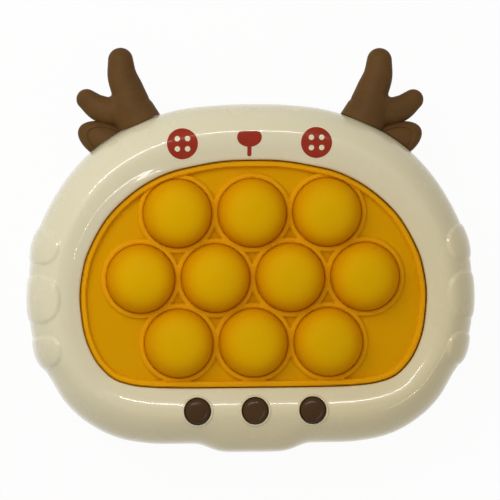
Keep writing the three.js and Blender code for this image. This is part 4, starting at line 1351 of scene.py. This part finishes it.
class PUSHGAME_OT_back(bpy.types.Operator):
    """Battery door, the screws, the batteries and their contacts"""

    bl_idname = "pushgame.back"
    bl_label = "Back"

    def execute(self, context):
        _, colours = sizes_and_colours()
        plastic = cream_plastic("cream_plastic_door")
        steel = metal("plated_steel")
        finished(self.door(), plastic, "door", "case_cream", "battery_door")
        for node in (*SCREW_NODES, "battery_door_screw"):
            body = "door" if node == "battery_door_screw" else "case"
            finished(self.screw(node), steel, body, "steel", node)
        jacket = self.jacket(tuple(colours.jacket))
        for number in (1, 2, 3):
            node = f"battery_{number}"
            finished(self.battery(node, number != 2), jacket, "case", "battery_jacket", node)
        for end in ("negative", "positive", "bridge_left", "bridge_right"):
            node = f"contact_{end}"
            finished(self.contact(node), steel, "case", "steel", node)
        return {"FINISHED"}

    def door(self):
        """Plate with a screw ear, two tabs at its upper edge and a grooved grip."""
        low, high = DOOR_LOW, DOOR_HIGH
        upper, plate_top = high.y - TAB_REACH, low.z + DOOR_THICKNESS
        lower = upper - DOOR_HEIGHT
        screw_low, _, ear = room("battery_door_screw")
        edge = (low.x, lower, low.z), (high.x, upper, plate_top)
        plate = block("battery_door_plate", *edge, 0.0014, 5)
        half, tab_top, ear_rise = 0.004, 0.0036, 0.0036
        combine(plate, column("ear", 0.005, low.z, low.z + ear_rise, ear, 56), "UNION")
        for x in TAB_PLACES:
            foot = upper - 0.0026, plate_top - 0.0002, upper
            tongue = upper - 0.0013, 0.0025, high.y
            for start, base, end in (foot, tongue):
                tab = block("tab", (x - half, start, base), (x + half, end, tab_top))
                combine(plate, tab, "UNION")
        seat_top, hole_top = screw_low.z + 0.0017, low.z + 0.006
        combine(plate, column("seat", 0.0027, low.z - PAST, seat_top, ear, 40))
        combine(plate, column("hole", 0.0015, low.z - PAST, hole_top, ear, 32))
        left, right, half, depth = 0.0105, 0.0235, 0.00045, 0.0005
        grip, pitch = 0.0072, 0.0018
        for step in range(-2, 3):
            y = lower + grip + step * pitch
            edge = (left, y - half, low.z - PAST), (right, y + half, low.z + depth)
            combine(plate, block("groove", *edge, 0.0004, 4))
        return softened(plate, 0.0002)

    def screw(self, node):
        """Threaded screw with a low head and a cross slot."""
        low, high, middle = room(node)
        head = (high.x - low.x) / 2
        shank, head_height = 0.0013, 0.0018
        if node == "battery_door_screw":
            shank, head_height = 0.0012, 0.0014
        pitch, ridge, run, taper = 0.0007, 0.00025, 0.0002, 0.0012
        thread = []
        z = low.z + head_height
        while z < high.z - taper:
            thread += [(shank - run, z), (shank, z + ridge)]
            z += pitch
        profile = [
            (0, low.z),
            (head * 0.8, low.z),
            (head * 0.95, low.z + 0.0002),
            (head, low.z + 0.0005),
            (head, low.z + head_height),
            *thread,
            (shank * 0.5, high.z - 0.0003),
            (0, high.z),
        ]
        screw = turned(f"{node}_turned", profile, 40, middle)
        arm, half = head * 0.55, head * 0.12
        deep = low.z + head_height / 2
        for x, y in ((arm, half), (half, arm)):
            corner = Vector((x, y, 0))
            start, end = middle - corner, middle + corner
            start.z, end.z = low.z - PAST, deep
            combine(screw, block("slot", start, end))
        return screw

    def jacket(self, base):
        """Printed battery sleeve: a coloured body, a pale band and bare metal ends."""
        finish = Finish("battery_sleeve")
        along = finish.attribute("along")
        bare = along.ramp(0.955, 0.965) + (1 - along.ramp(0.025, 0.035))
        band = along.ramp(0.7, 0.71) * (1 - along.ramp(0.9, 0.91))
        sleeve = finish.mix(band, base, (0.75, 0.72, 0.66))
        return finish.surface(
            Base_Color=finish.mix(bare, sleeve, (0.66, 0.65, 0.62)),
            Metallic=bare.ramp(0, 1, 0.15, 1),
            Roughness=finish.noise(500, 3).ramp(0.3, 0.7, 0.25, 0.38),
        )

    def battery(self, node, forward):
        """A cell lying along X, with its nub at the right where it lies forward."""
        low, high, middle = room(node)
        radius, run = (high.y - low.y) / 2, high.x - low.x
        nub, shoulder = 0.0019, run - 0.0008
        rows = [
            (0, 0.0001),
            (radius * 0.6, 0.0001),
            (radius * 0.66, 0),
            (radius * 0.9, 0),
            (radius, 0.0005),
            (radius, shoulder - 0.0005),
            (radius * 0.93, shoulder),
            (radius * 0.5, shoulder - 0.0001),
            (nub, shoulder),
            (nub, run - 0.0002),
            (nub * 0.85, run),
            (0, run),
        ]
        start, sign = (low.x, 1) if forward else (high.x, -1)
        profile = [(wide, start + sign * place) for wide, place in rows]
        piece = lying(f"{node}_cell", profile, 56, middle)
        marked(piece, "along", sign * (coordinates(piece)[:, 0] - start) / run)
        return piece

    def contact(self, node):
        """Stamped plate, with a coil spring or a pressed bump for each cell that it serves."""
        low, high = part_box(node)
        at_right = high.x > 0
        outer, sign = (high.x, -1) if at_right else (low.x, 1)
        inner = outer + sign * 0.0005
        cells = [room(f"battery_{number}") for number in (1, 2, 3)]
        served = [cell for cell in cells if low.y < cell[2].y < high.y]
        axis, half = served[0][2].z, 0.00495
        left, right = sorted((outer, inner))
        edge = (left, low.y, axis - half), (right, high.y, axis + half)
        plate = block(f"{node}_plate", *edge)
        if len(served) == 1:
            y, tab_half = served[0][2].y, 0.0015
            tab = block("tab", (left, y - tab_half, axis), (right, y + tab_half, high.z))
            combine(plate, tab, "UNION")
        softened(plate, 0.0001)
        parts = []
        for cell_low, cell_high, cell in served:
            room_left = abs(inner - (cell_high.x if at_right else cell_low.x))
            pressed = self.spring if room_left > 0.003 else self.bump
            parts.append(pressed(inner, sign, room_left - GAP, cell))
        take(plate)
        for part in parts:
            part.select_set(True)
        bpy.ops.object.join()
        return plate

    def spring(self, start, sign, run, cell):
        """Coil that narrows towards the battery."""
        coils, corners, wire, sunk = 4, 10, 0.00035, 0.0001
        marks = np.linspace(0, 1, coils * 28 + 1)
        turns = marks * coils * math.tau
        radius = 0.0032 - 0.001 * marks
        out = np.column_stack([np.zeros(len(marks)), np.cos(turns), np.sin(turns)])
        x = start + sign * (sunk + (run - sunk - wire) * smooth(marks * 0.9 + 0.05))
        line = np.column_stack([x, cell.y + radius * out[:, 1], cell.z + radius * out[:, 2]])
        along = np.gradient(line, axis=0)
        along /= np.linalg.norm(along, axis=1)[:, None]
        side = np.cross(along, out)
        angles = round_turns(corners)
        rings = [
            point + wire * (np.outer(np.cos(angles), o) + np.outer(np.sin(angles), s))
            for point, o, s in zip(line, out, side)
        ]
        return extruded("spring", rings, caps=("first", "last"))

    def bump(self, start, sign, run, cell):
        """Pressed dimple, rooted in its plate."""
        rows = ((1.9, -0.15), (1.9, 0), (1.7, 0.5), (1.3, 0.86), (0.7, 0.99), (0, 1))
        profile = [(wide * 0.001, start + sign * share * run) for wide, share in rows]
        return lying("bump", profile, 32, cell, caps=("first",))


class PUSHGAME_OT_inner_parts(bpy.types.Operator):
    """Finishes for the CAD parts that stay, from the light frame and board to the wires"""

    bl_idname = "pushgame.inner_parts"
    bl_label = "Inner parts"

    def execute(self, context):
        board = tuple(sizes_and_colours()[1].board)
        lamp = self.lamp()
        carbon = matte_plastic("carbon_rubber", linear(34, 34, 34), 0.7)
        white = matte_plastic("white_plastic", linear(226, 225, 218), 0.4, 0.2, grain=400)
        black = matte_plastic("black_plastic", linear(30, 30, 32), 0.4, 0.2)
        dark = linear(38, 37, 36)
        kinds = {
            "light_frame": white,
            "game_board": board_laminate(board),
            "speaker": matte_plastic("speaker_paper", dark, 0.75, grain=1400, depth=0.00006),
        }
        wires = (
            ("battery_wire_black", "wire_black", (26, 26, 26)),
            ("battery_wire_red", "wire_red", (176, 34, 24)),
            ("speaker_wire", "wire_yellow", (200, 176, 58)),
        )
        for node, name, values in wires:
            kinds[node] = matte_plastic(name, linear(*values), 0.4, 0.1)
        for number in BUBBLES:
            kinds[f"led_{number}"] = lamp
            kinds[f"carbon_pill_{number}"] = carbon
        for side in SIDES:
            kinds[f"button_switch_{side}"] = black
        for name, material in kinds.items():
            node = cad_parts[name]
            if not node.material_slots:
                raise RuntimeError(f"{name} has no material slot")
            for slot in node.material_slots:
                slot.material = material
        return {"FINISHED"}

    def lamp(self):
        finish = Finish("clear_lamp")
        cloud = finish.noise(600, 2)
        return finish.surface(
            Base_Color=finish.mix(cloud.ramp(0.3, 0.7), (0.8, 0.8, 0.76), (0.9, 0.9, 0.88)),
            Roughness=cloud.ramp(0.3, 0.7, 0.08, 0.16),
            Coat_Weight=0.5,
        )


class PUSHGAME_OT_stage(bpy.types.Operator):
    """Floor, soft lights and the camera over the face"""

    bl_idname = "pushgame.stage"
    bl_label = "Stage"

    def execute(self, context):
        _, colours = sizes_and_colours()
        deselect()
        bpy.ops.mesh.primitive_plane_add(size=6, location=(0, 0, -0.0002))
        floor = named("studio_floor")
        settle(floor)
        floor.data.materials.append(self.paper(tuple(colours.floor)))
        self.world()
        self.light("key_light", (-0.17, 0.15, 0.33), (0.3, 0.3), 0.72, gloss=False)
        self.light("crest_tube", (-0.13, 0.36, 0.8), (0.6, 0.04), 2.3)
        self.light("slope_tube", (0.5, -0.4, 0.8), (0.6, 0.02), 1.1, turn=50.6)
        self.camera()
        context.scene.view_settings.view_transform = "Standard"
        return {"FINISHED"}

    def paper(self, base):
        """Pale floor that shows white to the camera and keeps the object's shadow."""
        finish = Finish("studio_paper")
        tint = finish.mix(finish.noise(3, 2).ramp(0.3, 0.7), shade(base, 0.985), base)
        sockets = {"Base Color": tint, "Roughness": 0.9}
        paper = finish.node("ShaderNodeBsdfPrincipled", sockets=sockets)
        glow = finish.node("ShaderNodeEmission", sockets={"Color": (1, 1, 1, 1), "Strength": 1.0})
        seen, mirror, glass = (
            finish.node("ShaderNodeLightPath", output=f"Is {ray} Ray")
            for ray in ("Camera", "Glossy", "Transmission")
        )
        factor = (seen + mirror + glass) * 0.95
        both = finish.node("ShaderNodeMixShader", sockets={0: factor, 1: paper, 2: glow})
        return finish.output(both)

    def world(self):
        world = bpy.data.worlds.new("studio_world")
        bpy.context.scene.world = world
        world.use_nodes = True
        tree = world.node_tree
        tree.nodes.clear()
        path = tree.nodes.new("ShaderNodeLightPath")
        skies = []
        for tint, strength in (((1, 0.965, 0.89, 1), 0.48), ((1, 1, 1, 1), 1.0)):
            sky = tree.nodes.new("ShaderNodeBackground")
            sky.inputs["Color"].default_value = tint
            sky.inputs["Strength"].default_value = strength
            skies.append(sky.outputs[0])
        mix = tree.nodes.new("ShaderNodeMixShader")
        out = tree.nodes.new("ShaderNodeOutputWorld")
        seen = path.outputs["Is Camera Ray"]
        for ray in ("Is Glossy Ray", "Is Transmission Ray"):
            total = tree.nodes.new("ShaderNodeMath")
            tree.links.new(seen, total.inputs[0])
            tree.links.new(path.outputs[ray], total.inputs[1])
            seen = total.outputs[0]
        for socket, source in zip(mix.inputs, (seen, *skies)):
            tree.links.new(source, socket)
        tree.links.new(mix.outputs[0], out.inputs["Surface"])

    def light(self, name, place, size, power, gloss=True, turn=0):
        """A lamp. One for the gloss faces down and shows there alone, the others not in it."""
        deselect()
        bpy.ops.object.light_add(type="AREA", location=place)
        lamp = bpy.context.object
        lamp.name = lamp.data.name = name
        lamp.data.shape = "RECTANGLE"
        lamp.data.size, lamp.data.size_y = size
        lamp.data.energy = power
        lamp.visible_glossy = gloss
        lamp.visible_diffuse = not gloss
        if gloss:
            lamp.rotation_euler = (0, 0, math.radians(turn))
        else:
            aim = Vector((0, CENTRE_Y, 0.02)) - Vector(place)
            lamp.rotation_euler = aim.to_track_quat("-Z", "Y").to_euler()

    def camera(self):
        """Camera far over the face, a little to its left, whose frame is as wide as the photo's."""
        deselect()
        away, frame_width, sensor = 5.0, 0.1657, 36
        aim = Vector((-0.0009, 0.0, 0.033))
        tilt, roll = math.radians(3.9), math.radians(-0.6)
        place = aim + away * Vector((-math.sin(tilt), 0, math.cos(tilt)))
        bpy.ops.object.camera_add(location=place)
        camera = bpy.context.object
        camera.name = camera.data.name = "photo_camera"
        turn = Matrix.Rotation(-tilt, 4, "Y") @ Matrix.Rotation(roll, 4, "Z")
        camera.rotation_euler = turn.to_euler()
        camera.data.sensor_width = sensor
        camera.data.lens = sensor * away / frame_width
        camera.data.clip_start = 0.01
        bpy.context.scene.camera = camera


class PUSHGAME_PT_panel(bpy.types.Panel):
    """Sizes, colours and pieces of the push game"""

    bl_idname = "PUSHGAME_PT_panel"
    bl_label = "Push Game"
    bl_space_type = "VIEW_3D"
    bl_region_type = "UI"
    bl_category = "Push Game"

    def draw(self, context):
        for group in (context.scene.push_game_sizes, context.scene.push_game_colours):
            box = self.layout.box()
            for name in group.bl_rna.properties.keys():
                if name not in ("rna_type", "name"):
                    box.prop(group, name)
        for operator in OPERATORS:
            self.layout.operator(operator.bl_idname)


OPERATORS = (
    PUSHGAME_OT_shells,
    PUSHGAME_OT_silicone,
    PUSHGAME_OT_antlers,
    PUSHGAME_OT_face_print,
    PUSHGAME_OT_buttons,
    PUSHGAME_OT_back,
    PUSHGAME_OT_inner_parts,
    PUSHGAME_OT_stage,
)
CLASSES = (PushGameSizes, PushGameColours, *OPERATORS, PUSHGAME_PT_panel)


def register():
    for entry in CLASSES:
        bpy.utils.register_class(entry)
    bpy.types.Scene.push_game_sizes = bpy.props.PointerProperty(type=PushGameSizes)
    bpy.types.Scene.push_game_colours = bpy.props.PointerProperty(type=PushGameColours)


def unregister():
    del bpy.types.Scene.push_game_colours
    del bpy.types.Scene.push_game_sizes
    for entry in reversed(CLASSES):
        bpy.utils.unregister_class(entry)


def main():
    register()
    bpy.ops.pushgame.shells()
    bpy.ops.pushgame.silicone()
    bpy.ops.pushgame.antlers()
    bpy.ops.pushgame.face_print()
    bpy.ops.pushgame.buttons()
    bpy.ops.pushgame.back()
    bpy.ops.pushgame.inner_parts()
    bpy.ops.pushgame.stage()
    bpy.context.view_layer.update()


if __name__ == "__main__":
    main()
